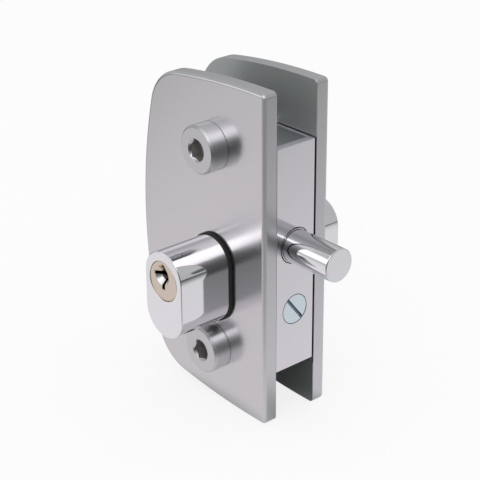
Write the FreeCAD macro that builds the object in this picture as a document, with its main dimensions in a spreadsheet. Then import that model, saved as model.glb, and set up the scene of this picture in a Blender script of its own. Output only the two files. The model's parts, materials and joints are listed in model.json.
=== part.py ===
# Glass door lock: two clamp plates, a slim case between them, a round bolt
# and a key cylinder on each side.
#
# Frame, in millimetres: the origin is on the bolt's axis, in the plane of the
# plates' door edge and midway between the plates. +X is the way the bolt
# throws, +Y points to the rear plate, +Z is up.

import FreeCAD, Part
import Sketcher
import os
from math import atan2, hypot, pi, sqrt

doc = FreeCAD.newDocument("glass_door_lock")
sheet = doc.addObject("Spreadsheet::Sheet", "Sizes")

# Sizes that are set by themselves.
SIZES = {
    # clamp plates
    "plate_height": 110.0,
    "plate_width": 59.0,
    "plate_thick": 5.1,
    "clamp_gap": 15.8,
    "plate_drop": 3.8,
    "side_radius": 162.0,
    "top_radius": 246.0,
    "shoulder_radius": 15.6,
    "top_flat": 4.1,
    "edge_corner": 1.5,
    "plate_round": 1.2,
    "recess_depth": 0.2,
    "recess_margin": 0.8,
    # clamp screws and their nuts
    "clamp_line": 23.8,
    "clamp_rise": 29.2,
    "clamp_below_oval": 9.95,
    "boss_dia": 15.5,
    "boss_height": 6.2,
    "boss_bevel": 0.7,
    "socket_flats": 6.0,
    "socket_depth": 4.0,
    "socket_lead": 0.75,
    "socket_mouth": 0.8,
    "clamp_shank_dia": 6.0,
    "barrel_dia": 8.0,
    "barrel_reach": 13.0,
    "barrel_floor": 2.0,
    "shank_reach": 24.0,
    # case and faceplate
    "case_above_clamp": 3.9,
    "case_below_clamp": 2.6,
    "case_side_gap": 0.3,
    "case_wall": 1.2,
    "inset": 0.3,
    "face_thick": 2.3,
    "notch_gap": 0.4,
    "post_dia": 6.0,
    "post_inset": 4.4,
    "post_front": 12.4,
    "tail_room": 1.0,
    "cover_screw_dia": 3.0,
    "cover_screw_length": 8.0,
    "cover_head_dia": 5.0,
    "cover_head_thick": 0.7,
    "small_slot": 0.6,
    "lug_inset": 4.5,
    "lug_length": 5.6,
    "lug_height": 6.0,
    "lug_width": 6.0,
    "cross_pin_dia": 3.0,
    # key cylinders
    "backset": 23.8,
    "cylinder_drop": 10.0,
    "plug_rise": 4.8,
    "oval_width": 17.5,
    "oval_height": 28.9,
    "oval_round": 0.35,
    "cylinder_reach": 20.15,
    "gasket_thick": 1.3,
    "gasket_lip": 0.45,
    "neck_step": 0.4,
    "cylinder_stop": 6.0,
    "plug_dia": 13.1,
    "plug_sink": 0.15,
    "spigot_dia": 8.0,
    "spigot_stop": 2.5,
    "dog_slot": 2.1,
    "dog_slot_depth": 1.9,
    "clip_dia": 14.2,
    "clip_thick": 0.7,
    "clip_groove_dia": 11.6,
    "clip_mouth": 7.0,
    "key_depth": 25.0,
    "key_dish_dia": 3.0,
    "key_dish_depth": 1.9,
    "key_dish_bevel": 1.8,
    "key_dish_shift": 0.65,
    "key_dish_lift": 1.65,
    # pins in the cylinders
    "pin_dia": 2.8,
    "pin_pitch": 3.7,
    "pin_first": 5.2,
    "key_pin_length": 3.2,
    "key_pin_step": 0.3,
    "key_pin_point": 0.7,
    "chamber_end": 1.6,
    "shear_lift": 0.17,
    "shear_drop": 0.07,
    "driver_length": 4.0,
    "pin_cap_length": 1.9,
    "pin_wire": 0.4,
    "pin_coil_dia": 2.2,
    "pin_spring_turns": 5.0,
    # bridge between the cylinders and its screw
    "bridge_width": 12.4,
    "bridge_top_gap": 0.6,
    "bridge_foot": 0.85,
    "bridge_pin_dia": 2.5,
    "bridge_pin_spread": 3.5,
    "bridge_pin_below_lobe": 5.5,
    "bridge_pin_reach": 8.0,
    "fixing_below_lobe": 1.3,
    "fixing_head_dia": 9.8,
    "fixing_head_thick": 1.9,
    "fixing_bevel": 0.25,
    "fixing_shank_dia": 5.0,
    "fixing_length": 24.0,
    "fixing_slot": 1.1,
    "fixing_slot_depth": 1.0,
    # bolt, its tail and the cam
    "bolt_dia": 10.8,
    "bolt_reach": 18.7,
    "bolt_round": 0.3,
    "bolt_step": 0.16,
    "bolt_step_sink": 0.1,
    "bolt_gap": 0.35,
    "bolt_flat": 3.9,
    "bolt_flat_run": 0.4,
    "throw": 19.0,
    "tail_wall": 3.2,
    "tail_roof": 2.4,
    "tail_floor": 3.0,
    "tail_web": 9.6,
    "flange_floor": 2.0,
    "mouth_flare": 2.6,
    "tail_screw_dia": 2.5,
    "tail_screw_length": 8.0,
    "tail_head_dia": 4.5,
    "tail_head_thick": 1.4,
    "tail_screw_spread": 2.6,
    "finger_radius": 2.0,
    "finger_play": 0.45,
    "finger_neck": 2.3,
    "finger_thick": 5.6,
    "hub_dia": 11.2,
    "hub_length": 9.8,
    "dog_length": 2.2,
    "dog_tongue": 1.8,
    "dog_tab": 0.8,
    # bolt guide with its friction plunger
    "guide_wall": 1.4,
    "guide_pin_dia": 2.0,
    "guide_pin_gap": 0.2,
    "plunger_dia": 2.8,
    "plunger_length": 3.4,
    "friction_wire": 0.4,
    "friction_turns": 6.0,
    "friction_spring_length": 6.4,
    "friction_screw_length": 3.2,
    "friction_slot_depth": 0.9,
    # clearances
    "running": 0.05,
    "seat_gap": 0.1,
    "slip": 0.15,
    "stop_gap": 0.25,
    "drill_point": 0.5,
    "groove_play": 0.03,
}


class Size:
    """A length kept twice: as a number to draw with and as the formula that binds it to the sheet."""

    def __init__(self, value, text):
        self.value = float(value)
        self.text = text

    @staticmethod
    def of(other):
        return other if isinstance(other, Size) else Size(other, repr(float(other)))

    def __add__(self, other):
        other = Size.of(other)
        return Size(self.value + other.value, f"({self.text} + {other.text})")

    def __radd__(self, other):
        return Size.of(other) + self

    def __sub__(self, other):
        other = Size.of(other)
        return Size(self.value - other.value, f"({self.text} - {other.text})")

    def __rsub__(self, other):
        return Size.of(other) - self

    def __mul__(self, other):
        other = Size.of(other)
        return Size(self.value * other.value, f"({self.text} * {other.text})")

    def __rmul__(self, other):
        return Size.of(other) * self

    def __truediv__(self, other):
        other = Size.of(other)
        return Size(self.value / other.value, f"({self.text} / {other.text})")

    def __neg__(self):
        return Size(-self.value, f"(0 - {self.text})")

    def root(self):
        return Size(sqrt(self.value), f"sqrt({self.text})")


def fill_sheet():
    for row, (alias, value) in enumerate(SIZES.items(), start=1):
        sheet.set(f"A{row}", alias)
        sheet.set(f"B{row}", repr(value))
        sheet.setAlias(f"B{row}", alias)
    doc.recompute()
    return {alias: Size(value, f"Sizes.{alias}") for alias, value in SIZES.items()}


S = fill_sheet()
ZERO = Size.of(0)
DIAGONAL = Size(sqrt(0.5), "sqrt(0.5)")

# Planes and places that several pieces share.
plate_in = S["clamp_gap"] / 2
plate_out = plate_in + S["plate_thick"]
case_half = plate_in - S["case_side_gap"]
case_in = case_half - S["case_wall"]
face_front = -S["inset"]
face_back = face_front - S["face_thick"]
plug_x = -S["backset"]
plug_z = -S["cylinder_drop"]
oval_z = plug_z - S["plug_rise"]
cylinder_face = plate_out + S["cylinder_reach"]
shoulder = plate_out + S["gasket_thick"]
crank = S["throw"] * DIAGONAL
notch_x = plug_x + S["throw"] / 2
notch_half = S["finger_radius"] + S["finger_play"]
tail_front = notch_x + notch_half + S["tail_wall"]
tail_back = notch_x - notch_half - S["tail_wall"]
notch_roof = plug_z + crank + notch_half
tail_top = notch_roof + S["tail_roof"]
case_back = tail_back - S["throw"] - S["tail_room"] - S["case_wall"]
clamp_x = -S["clamp_line"]
oval_foot = oval_z - S["oval_height"] / 2
lobe_z = oval_foot + S["oval_width"] / 2
clamp_levels = (S["clamp_rise"], oval_foot - S["clamp_below_oval"])
case_top = clamp_levels[0] + S["case_above_clamp"]
case_foot = clamp_levels[1] - S["case_below_clamp"]
notch_radius = S["barrel_dia"] / 2 + S["notch_gap"]
recess_reach = S["barrel_dia"] / 2 + S["recess_margin"]
bolt_radius = S["bolt_dia"] / 2 + S["bolt_step"]
clip_low = S["cylinder_stop"] - S["seat_gap"] - S["clip_thick"]
plug_end = clip_low - S["seat_gap"]
hub_half = S["hub_length"] / 2
guide_back = tail_front + S["stop_gap"]
guide_x = (guide_back + face_back) / 2
lug_x = face_back - S["lug_length"] / 2
fixing_z = lobe_z - S["fixing_below_lobe"]
bridge_pin_z = lobe_z - S["bridge_pin_below_lobe"]
post_in = S["case_wall"] + S["post_inset"]
post_spots = [(x, z) for x in (-S["post_front"], case_back + post_in)
              for z in (case_top - post_in, case_foot + post_in)]
lug_in = S["case_wall"] + S["lug_inset"]
lug_spots = (case_top - lug_in, case_foot + lug_in)

# The friction plunger, its spring and its screw stand in a row over the bolt.
plunger_foot = bolt_radius + S["running"] / 2
friction_foot = plunger_foot + S["plunger_length"]
friction_top = friction_foot + S["friction_spring_length"] + S["friction_screw_length"]
pin_half = S["guide_pin_dia"] / 2
guide_pin_levels = (friction_top + S["guide_pin_gap"] + pin_half,
                    -bolt_radius - S["guide_wall"] - pin_half)
guide_top = guide_pin_levels[0] + pin_half + S["guide_wall"]
guide_foot = guide_pin_levels[1] - pin_half - S["guide_wall"]

PLANES = {"x": "YZ_Plane", "y": "XZ_Plane", "z": "XY_Plane"}
NORMALS = {"x": 1, "y": -1, "z": 1}
pieces = []


def keep(thing):
    pieces.append(thing)
    return thing


def bind(thing, name, size):
    thing.setExpression(name, size.text)


def new_body(name):
    body = doc.addObject("PartDesign::Body", name)
    body.Label = name
    return body


def sketch_on(body, axis, at):
    """A sketch square to an axis: (X, Z) for y, (Y, Z) for x and (X, Y) for z."""
    sketch = body.newObject("Sketcher::SketchObject", f"{body.Name}_sketch")
    plane = [item for item in body.Origin.OriginFeatures if item.Role == PLANES[axis]][0]
    sketch.AttachmentSupport = [(plane, "")]
    sketch.MapMode = "FlatFace"
    offset = at * NORMALS[axis]
    sketch.AttachmentOffset = FreeCAD.Placement(FreeCAD.Vector(0, 0, offset.value), FreeCAD.Rotation())
    bind(sketch, "AttachmentOffset.Base.z", offset)
    return sketch


def hold(sketch, kind, geo, point, size):
    """Fix one coordinate of a point to a formula of the sheet."""
    if size.text in ("0.0", "(0 - 0.0)"):
        axis = -2 if kind == "DistanceX" else -1
        sketch.addConstraint(Sketcher.Constraint("PointOnObject", geo, point, axis))
        return
    index = sketch.addConstraint(Sketcher.Constraint(kind, geo, point, size.value))
    bind(sketch, f"Constraints[{index}]", size)


def circle(u, v, radius):
    u, v, radius = Size.of(u), Size.of(v), Size.of(radius)

    def draw(sketch):
        centre = FreeCAD.Vector(u.value, v.value, 0)
        geo = sketch.addGeometry(Part.Circle(centre, FreeCAD.Vector(0, 0, 1), radius.value), False)
        hold(sketch, "DistanceX", geo, 3, u)
        hold(sketch, "DistanceY", geo, 3, v)
        index = sketch.addConstraint(Sketcher.Constraint("Radius", geo, radius.value))
        bind(sketch, f"Constraints[{index}]", radius)
    return draw


def polygon(points):
    points = [(Size.of(u), Size.of(v)) for u, v in points]

    def draw(sketch):
        first = sketch.GeometryCount
        count = len(points)
        for index, (u, v) in enumerate(points):
            after_u, after_v = points[(index + 1) % count]
            start = FreeCAD.Vector(u.value, v.value, 0)
            end = FreeCAD.Vector(after_u.value, after_v.value, 0)
            sketch.addGeometry(Part.LineSegment(start, end), False)
        for index, (u, v) in enumerate(points):
            before = first + (index - 1) % count
            sketch.addConstraint(Sketcher.Constraint("Coincident", before, 2, first + index, 1))
            hold(sketch, "DistanceX", first + index, 1, u)
            hold(sketch, "DistanceY", first + index, 1, v)
    return draw


def box(u_low, u_high, v_low, v_high):
    return polygon([(u_low, v_low), (u_high, v_low), (u_high, v_high), (u_low, v_high)])


def oval(grow):
    """The cylinders' upright oval in (X, Z), grown all round by a step that may be negative."""
    radius = S["oval_width"] / 2 + grow
    rise = (S["oval_height"] - S["oval_width"]) / 2
    high, low = oval_z + rise, oval_z - rise

    def draw(sketch):
        up = FreeCAD.Vector(0, 0, 1)
        right, left = (plug_x + radius).value, (plug_x - radius).value
        top = Part.Circle(FreeCAD.Vector(plug_x.value, high.value, 0), up, radius.value)
        bottom = Part.Circle(FreeCAD.Vector(plug_x.value, low.value, 0), up, radius.value)
        a = sketch.addGeometry(Part.ArcOfCircle(top, 0, pi), False)
        b = sketch.addGeometry(Part.ArcOfCircle(bottom, pi, 2 * pi), False)
        sides = []
        for x, start, end in ((left, high, low), (right, low, high)):
            line = Part.LineSegment(FreeCAD.Vector(x, start.value, 0), FreeCAD.Vector(x, end.value, 0))
            sides.append(sketch.addGeometry(line, False))
        joints = ((a, 2, sides[0], 1), (sides[0], 2, b, 1), (b, 2, sides[1], 1), (sides[1], 2, a, 1))
        for joint in joints:
            sketch.addConstraint(Sketcher.Constraint("Tangent", *joint))
        for arc, z in ((a, high), (b, low)):
            hold(sketch, "DistanceX", arc, 3, plug_x)
            hold(sketch, "DistanceY", arc, 3, z)
        index = sketch.addConstraint(Sketcher.Constraint("Radius", a, radius.value))
        bind(sketch, f"Constraints[{index}]", radius)
    return draw


def feature(body, kind, axis, at, length, drawings):
    sketch = sketch_on(body, axis, at)
    for draw in drawings:
        draw(sketch)
    sketch.Visibility = False
    before = body.Shape.Volume if body.Tip else 0.0
    item = body.newObject(f"PartDesign::{kind}", f"{body.Name}_{kind.lower()}")
    item.Profile = sketch
    item.Length = length.value
    bind(item, "Length", length)
    doc.recompute()
    grown = body.Shape.Volume - before
    if (kind == "Pad" and grown <= 0) or (kind == "Pocket" and grown >= 0):
        raise ValueError(f"{item.Name} changed nothing")
    return item


def fill(body, axis, low, high, *drawings):
    low, high = Size.of(low), Size.of(high)
    return feature(body, "Pad", axis, high if axis == "y" else low, high - low, drawings)


def cut(body, axis, low, high, *drawings):
    low, high = Size.of(low), Size.of(high)
    return feature(body, "Pocket", axis, low if axis == "y" else high, high - low, drawings)


def turned(name, profile):
    """A body turned about its own Z axis, from (radius, height) points."""
    body = new_body(name)
    sketch = sketch_on(body, "y", ZERO)
    polygon(profile)(sketch)
    sketch.Visibility = False
    item = body.newObject("PartDesign::Revolution", f"{name}_turned")
    item.Profile = sketch
    item.ReferenceAxis = (sketch, ["V_Axis"])
    item.Angle = 360
    doc.recompute()
    return body


def place(thing, x, y, z, axis=(0, 0, 1), angle=0):
    """Stand a piece at a point, with its own Z axis turned as given."""
    rotation = FreeCAD.Rotation(FreeCAD.Vector(*axis), angle)
    x, y, z = Size.of(x), Size.of(y), Size.of(z)
    thing.Placement = FreeCAD.Placement(FreeCAD.Vector(x.value, y.value, z.value), rotation)
    for name, size in (("x", x), ("y", y), ("z", z)):
        bind(thing, f"Placement.Base.{name}", size)
    return thing


def rod(name, radius, length, x, y, z, axis=(0, 0, 1), angle=0):
    item = doc.addObject("Part::Cylinder", name)
    item.Label = name
    bind(item, "Radius", Size.of(radius))
    bind(item, "Height", Size.of(length))
    return place(item, x, y, z, axis, angle)


def group(name, members):
    item = doc.addObject("Part::Compound", name)
    item.Label = name
    item.Links = members
    return keep(item)


def edges_where(shape, test):
    return [f"Edge{index}" for index, edge in enumerate(shape.Edges, start=1) if test(edge)]


def dress(body, kind, test, size):
    """Round or bevel the edges of the body's last feature that pass a test."""
    base = body.Tip
    names = edges_where(base.Shape, test)
    item = body.newObject(f"PartDesign::{kind}", f"{body.Name}_{kind.lower()}")
    item.Base = (base, names)
    name = "Radius" if kind == "Fillet" else "Size"
    setattr(item, name, size.value)
    bind(item, name, size)
    doc.recompute()
    return item


def lies_at(axis, size):
    """A test for edges that lie wholly in the plane at a height on one axis."""
    def test(edge):
        middle = edge.valueAt((edge.FirstParameter + edge.LastParameter) / 2)
        ends = [vertex.Point for vertex in edge.Vertexes]
        return all(abs(getattr(point, axis) - size.value) < 1e-4 for point in ends + [middle])
    return test


def round_at(axis, level, radius):
    """A test for round edges of a radius in the plane at a height on one axis."""
    flat = lies_at(axis, level)

    def test(edge):
        return flat(edge) and abs(getattr(edge.Curve, "Radius", 0) - radius.value) < 1e-4
    return test


def facing(side, low, high):
    """Two distances from the mid-plane, low to high, on the front (-1) or rear (1) side."""
    low, high = Size.of(low), Size.of(high)
    return (-high, -low) if side < 0 else (low, high)


def crossing(centre_a, radius_a, centre_b, radius_b):
    """The upper crossing of two circles."""
    span = hypot(centre_b[0] - centre_a[0], centre_b[1] - centre_a[1])
    along = (radius_a ** 2 - radius_b ** 2 + span ** 2) / (2 * span)
    rise = sqrt(radius_a ** 2 - along ** 2)
    ux, uz = (centre_b[0] - centre_a[0]) / span, (centre_b[1] - centre_a[1]) / span
    spots = [(centre_a[0] + along * ux - sign * rise * uz, centre_a[1] + along * uz + sign * rise * ux)
             for sign in (1, -1)]
    return max(spots, key=lambda spot: spot[1])


def plate_outline(sketch):
    """Straight door edge with small corners, flat ends that ease into long arcs, and a bowed side."""
    middle = -S["plate_drop"]
    half = S["plate_height"] / 2
    corner, shoulder_r = S["edge_corner"].value, S["shoulder_radius"].value
    side, top = S["side_radius"].value, S["top_radius"].value
    flat, mid, rise = S["top_flat"].value, middle.value, half.value
    side_centre = (side - S["plate_width"].value, 0.0)
    top_centre = (-flat, rise - top)
    shoulder_centre = crossing(side_centre, side - shoulder_r, top_centre, top - shoulder_r)
    turn_top = atan2(shoulder_centre[1] - top_centre[1], shoulder_centre[0] - top_centre[0])
    turn_side = atan2(shoulder_centre[1], shoulder_centre[0] - side_centre[0])

    def line(x_a, z_a, x_b, z_b):
        start, end = FreeCAD.Vector(x_a, mid + z_a, 0), FreeCAD.Vector(x_b, mid + z_b, 0)
        return sketch.addGeometry(Part.LineSegment(start, end), False)

    def arc(centre, radius, start, end):
        up = FreeCAD.Vector(0, 0, 1)
        ring = Part.Circle(FreeCAD.Vector(centre[0], mid + centre[1], 0), up, radius)
        return sketch.addGeometry(Part.ArcOfCircle(ring, start, end), False)

    def below(centre):
        return (centre[0], -centre[1])

    edge = line(0, corner - rise, 0, rise - corner)
    parts = [
        edge,
        arc((-corner, rise - corner), corner, 0, pi / 2),
        line(-corner, rise, -flat, rise),
        arc(top_centre, top, pi / 2, turn_top),
        arc(shoulder_centre, shoulder_r, turn_top, turn_side),
        arc(side_centre, side, turn_side, 2 * pi - turn_side),
        arc(below(shoulder_centre), shoulder_r, 2 * pi - turn_side, 2 * pi - turn_top),
        arc(below(top_centre), top, 2 * pi - turn_top, 3 * pi / 2),
        line(-flat, -rise, -corner, -rise),
        arc((-corner, corner - rise), corner, -pi / 2, 0),
    ]
    for here, after in zip(parts, parts[1:] + parts[:1]):
        sketch.addConstraint(Sketcher.Constraint("Tangent", here, 2, after, 1))
    hold(sketch, "DistanceX", edge, 1, ZERO)
    sketch.addConstraint(Sketcher.Constraint("Vertical", edge))
    for geo, size in ((1, "edge_corner"), (3, "top_radius"), (4, "shoulder_radius"), (5, "side_radius"),
                      (6, "shoulder_radius"), (7, "top_radius"), (9, "edge_corner")):
        index = sketch.addConstraint(Sketcher.Constraint("Radius", parts[geo], S[size].value))
        bind(sketch, f"Constraints[{index}]", S[size])
    for geo, point, z in ((2, 1, middle + half), (8, 2, middle - half)):
        sketch.addConstraint(Sketcher.Constraint("Horizontal", parts[geo]))
        hold(sketch, "DistanceY", parts[geo], point, z)
    hold(sketch, "DistanceX", parts[2], 2, -S["top_flat"])
    hold(sketch, "DistanceX", parts[8], 1, -S["top_flat"])
    hold(sketch, "DistanceX", parts[5], 3, S["side_radius"] - S["plate_width"])
    hold(sketch, "DistanceY", parts[5], 3, middle)


def plate(name, side, hole_dia):
    """A clamp plate: its inner rim bears on the glass, round a shallow recess for the case."""
    body = new_body(name)
    low, high = facing(side, plate_in, plate_out)
    fill(body, "y", low, high, plate_outline)
    dress(body, "Fillet", lies_at("y", plate_out * side), S["plate_round"])
    holes = [circle(clamp_x, z, hole_dia / 2) for z in clamp_levels]
    cut(body, "y", low, high, oval(S["slip"] - S["neck_step"]), *holes)
    recess = box(case_back - S["recess_margin"], S["edge_corner"],
                 clamp_levels[1] - recess_reach, clamp_levels[0] + recess_reach)
    cut(body, "y", *facing(side, plate_in, plate_in + S["recess_depth"]), recess)
    return keep(body)


def gasket(name, side):
    body = new_body(name)
    low, high = facing(side, plate_out, shoulder)
    fill(body, "y", low, high, oval(S["gasket_lip"]))
    cut(body, "y", low, high, oval(S["running"] - S["neck_step"]))
    return keep(body)


def clamp_screw(name, z):
    """A round head with a bevelled rim and a hexagon socket on a long shank, head up."""
    head, shank = S["boss_dia"] / 2, S["clamp_shank_dia"] / 2
    bevel, rise = S["boss_bevel"], S["boss_height"]
    body = turned(name, [(0, -S["shank_reach"]), (shank, -S["shank_reach"]), (shank, 0), (head, 0),
                         (head, rise - bevel), (head - bevel, rise), (0, rise)])
    socket(body)
    return place(body, clamp_x, -plate_out, z, (1, 0, 0), 90)


def clamp_nut(name, z):
    """The same head on a hollow threaded barrel that passes the rear plate."""
    head, barrel = S["boss_dia"] / 2, S["barrel_dia"] / 2
    bevel, rise = S["boss_bevel"], S["boss_height"]
    bore = S["clamp_shank_dia"] / 2 + S["running"]
    floor, reach = -S["barrel_floor"], -S["barrel_reach"]
    body = turned(name, [(0, floor), (bore, floor), (bore, reach), (barrel, reach), (barrel, 0), (head, 0),
                         (head, rise - bevel), (head - bevel, rise), (0, rise)])
    socket(body)
    return place(body, clamp_x, plate_out, z, (1, 0, 0), -90)


def socket(body):
    """A hexagon socket in the top of a clamp head, with a small lead-in."""
    reach = S["socket_flats"] / sqrt(3)
    points = [(reach, 0), (reach / 2, S["socket_flats"] / 2), (-reach / 2, S["socket_flats"] / 2),
              (-reach, 0), (-reach / 2, -S["socket_flats"] / 2), (reach / 2, -S["socket_flats"] / 2)]
    mouth = S["socket_flats"] / 2
    cut(body, "z", S["boss_height"] - S["socket_mouth"], S["boss_height"], circle(0, 0, mouth))
    dress(body, "Chamfer", round_at("z", S["boss_height"], mouth), S["socket_lead"])
    cut(body, "z", S["boss_height"] - S["socket_depth"], S["boss_height"], polygon(points))


def end_notch(radius, z, end):
    """A clamp screw's notch in one end of the case: round at the screw and open to the end."""
    radius, z, end = Size.of(radius), Size.of(z), Size.of(end)
    way = 1 if end.value > z.value else -1

    def draw(sketch):
        ring = Part.Circle(FreeCAD.Vector(clamp_x.value, z.value, 0), FreeCAD.Vector(0, 0, 1), radius.value)
        turn = pi if way > 0 else 0
        left, right = (clamp_x - radius * way).value, (clamp_x + radius * way).value
        arc = sketch.addGeometry(Part.ArcOfCircle(ring, turn, turn + pi), False)
        lines = []
        corners = [(right, z.value), (right, end.value), (left, end.value), (left, z.value)]
        for start, stop in zip(corners, corners[1:]):
            line = Part.LineSegment(FreeCAD.Vector(*start, 0), FreeCAD.Vector(*stop, 0))
            lines.append(sketch.addGeometry(line, False))
        sketch.addConstraint(Sketcher.Constraint("Tangent", arc, 2, lines[0], 1))
        sketch.addConstraint(Sketcher.Constraint("Coincident", lines[0], 2, lines[1], 1))
        sketch.addConstraint(Sketcher.Constraint("Coincident", lines[1], 2, lines[2], 1))
        sketch.addConstraint(Sketcher.Constraint("Tangent", lines[2], 2, arc, 1))
        sketch.addConstraint(Sketcher.Constraint("Horizontal", lines[1]))
        hold(sketch, "DistanceX", arc, 3, clamp_x)
        hold(sketch, "DistanceY", arc, 3, z)
        hold(sketch, "DistanceY", lines[1], 1, end)
        index = sketch.addConstraint(Sketcher.Constraint("Radius", arc, radius.value))
        bind(sketch, f"Constraints[{index}]", radius)
    return draw


def notches(radius, over):
    """Both end notches, run past the case's ends by a step."""
    upper = end_notch(radius, clamp_levels[0], case_top + over)
    lower = end_notch(radius, clamp_levels[1], case_foot - over)
    return [upper, lower]


def slot_across(radius, width):
    """A driver slot across a round head, a little longer than the head is wide."""
    reach = radius * 1.2
    return box(-reach, reach, -width / 2, width / 2)


def case():
    """A tray that is open to the rear and to the faceplate, with posts for the cover's screws."""
    body = new_body("case")
    fill(body, "y", -case_half, case_in, box(case_back, face_back, case_foot, case_top))
    wall = S["case_wall"]
    inside = box(case_back + wall, face_back + wall, case_foot + wall, case_top - wall)
    cut(body, "y", -case_in, case_in, inside)
    fill(body, "y", -case_half, case_in, *notches(notch_radius + wall, 0))
    for x, z in post_spots:
        fill(body, "y", -case_in - wall / 4, case_in, circle(x, z, S["post_dia"] / 2))
    cut(body, "y", -case_half, case_in, *notches(notch_radius, wall))
    cores = [circle(x, z, S["cover_screw_dia"] / 2 + S["running"] / 2) for x, z in post_spots]
    cut(body, "y", case_half - S["cover_screw_length"] - S["drill_point"], case_in, *cores)
    cut(body, "y", -case_half, -case_in, oval(S["slip"] - S["neck_step"]))
    cut(body, "y", -case_half, -case_in, *cross_pin_holes())
    return keep(body)


def cross_pin_holes():
    """Holes for the pins that cross the case through the faceplate's lugs and the bolt guide."""
    lugs = [circle(lug_x, z, S["cross_pin_dia"] / 2 + S["running"] / 2) for z in lug_spots]
    guides = [circle(guide_x, z, pin_half + S["running"] / 2) for z in guide_pin_levels]
    return lugs + guides


def cover():
    body = new_body("case_cover")
    fill(body, "y", case_in, case_half, box(case_back, face_back, case_foot, case_top))
    cut(body, "y", case_in, case_half, *notches(notch_radius, S["case_wall"]))
    cut(body, "y", case_in, case_half, oval(S["slip"] - S["neck_step"]))
    cut(body, "y", case_in, case_half, *cross_pin_holes())
    holes = [circle(x, z, S["cover_screw_dia"] / 2 + S["slip"]) for x, z in post_spots]
    cut(body, "y", case_in, case_half, *holes)
    seats = [circle(x, z, S["cover_head_dia"] / 2 + S["slip"]) for x, z in post_spots]
    cut(body, "y", case_half - S["cover_head_thick"], case_half, *seats)
    return keep(body)


def cover_screws():
    """Four slotted screws whose thin heads are sunk in the cover."""
    shank, head, thick = S["cover_screw_dia"] / 2, S["cover_head_dia"] / 2, S["cover_head_thick"]
    members = []
    for index, (x, z) in enumerate(post_spots, start=1):
        body = turned(f"cover_screw_{index}", [(0, -S["cover_screw_length"]), (shank, -S["cover_screw_length"]),
                                               (shank, -thick), (head, -thick), (head, 0), (0, 0)])
        cut(body, "z", -thick / 2, 0, slot_across(head, S["small_slot"]))
        members.append(place(body, x, case_half, z, (1, 0, 0), -90))
    return group("cover_screws", members)


def faceplate():
    """The visible strip at the door edge, with two lugs that reach into the case."""
    body = new_body("faceplate")
    fill(body, "x", face_back, face_front, box(-case_half, case_half, case_foot, case_top))
    half = S["lug_width"] / 2
    for z in lug_spots:
        low, high = z - S["lug_height"] / 2, z + S["lug_height"] / 2
        fill(body, "x", face_back - S["lug_length"], face_back, box(-half, half, low, high))
    pin_r = S["cross_pin_dia"] / 2 + S["running"] / 2
    cut(body, "y", -half, half, *[circle(lug_x, z, pin_r) for z in lug_spots])
    cut(body, "x", face_back, face_front, circle(0, 0, bolt_radius + S["bolt_gap"]))
    head, shank = S["fixing_head_dia"] / 2 + S["slip"], S["fixing_shank_dia"] / 2 + S["slip"]
    cut(body, "x", face_back, face_front, circle(0, fixing_z, shank))
    cut(body, "x", face_front - S["fixing_head_thick"], face_front, circle(0, fixing_z, head))
    return keep(body)


def cylinder(name, side):
    """Oval housing outside the plate, a slimmer neck through it, the plug's bore and the pin chambers."""
    body = new_body(name)
    fill(body, "y", *facing(side, S["cylinder_stop"], shoulder), oval(-S["neck_step"]))
    fill(body, "y", *facing(side, shoulder, cylinder_face), oval(ZERO))
    dress(body, "Fillet", lies_at("y", cylinder_face * side), S["oval_round"])
    bore = S["plug_dia"] / 2 + S["running"]
    cut(body, "y", *facing(side, S["cylinder_stop"], cylinder_face), circle(plug_x, plug_z, bore))
    chambers = [circle(plug_x, y * side, S["pin_dia"] / 2 + S["running"]) for y in pin_rows()]
    cut(body, "z", oval_foot, plug_z, *chambers)
    depth = S["cylinder_stop"] + S["bridge_pin_reach"] + S["slip"]
    cut(body, "y", *facing(side, S["cylinder_stop"], depth), *bridge_pin_holes())
    return keep(body)


def bridge_pin_holes():
    radius = S["bridge_pin_dia"] / 2 + S["running"] / 2
    return [circle(plug_x + S["bridge_pin_spread"] * way, bridge_pin_z, radius) for way in (-1, 1)]


def pin_rows():
    """Distances of the pin stacks from the mid-plane."""
    return [cylinder_face - S["pin_first"] - S["pin_pitch"] * index for index in range(5)]


def keyway():
    """An upright zigzag slot with one side arm, in (X, Z) about the plug's axis, drawn for a 13.1 mm plug."""
    share = S["plug_dia"] / 13.1
    points = [(-0.9, 5.4), (0.3, 5.4), (1.9, 3.6), (1.9, 2.0), (0.55, -0.2), (0.55, -2.9), (-0.75, -2.9),
              (-0.75, 0.0), (0.05, 1.15), (-4.2, 1.15), (-4.2, 2.3), (0.4, 2.3), (0.4, 3.5)]
    return polygon([(plug_x + share * u, plug_z + share * v) for u, v in points])


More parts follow.
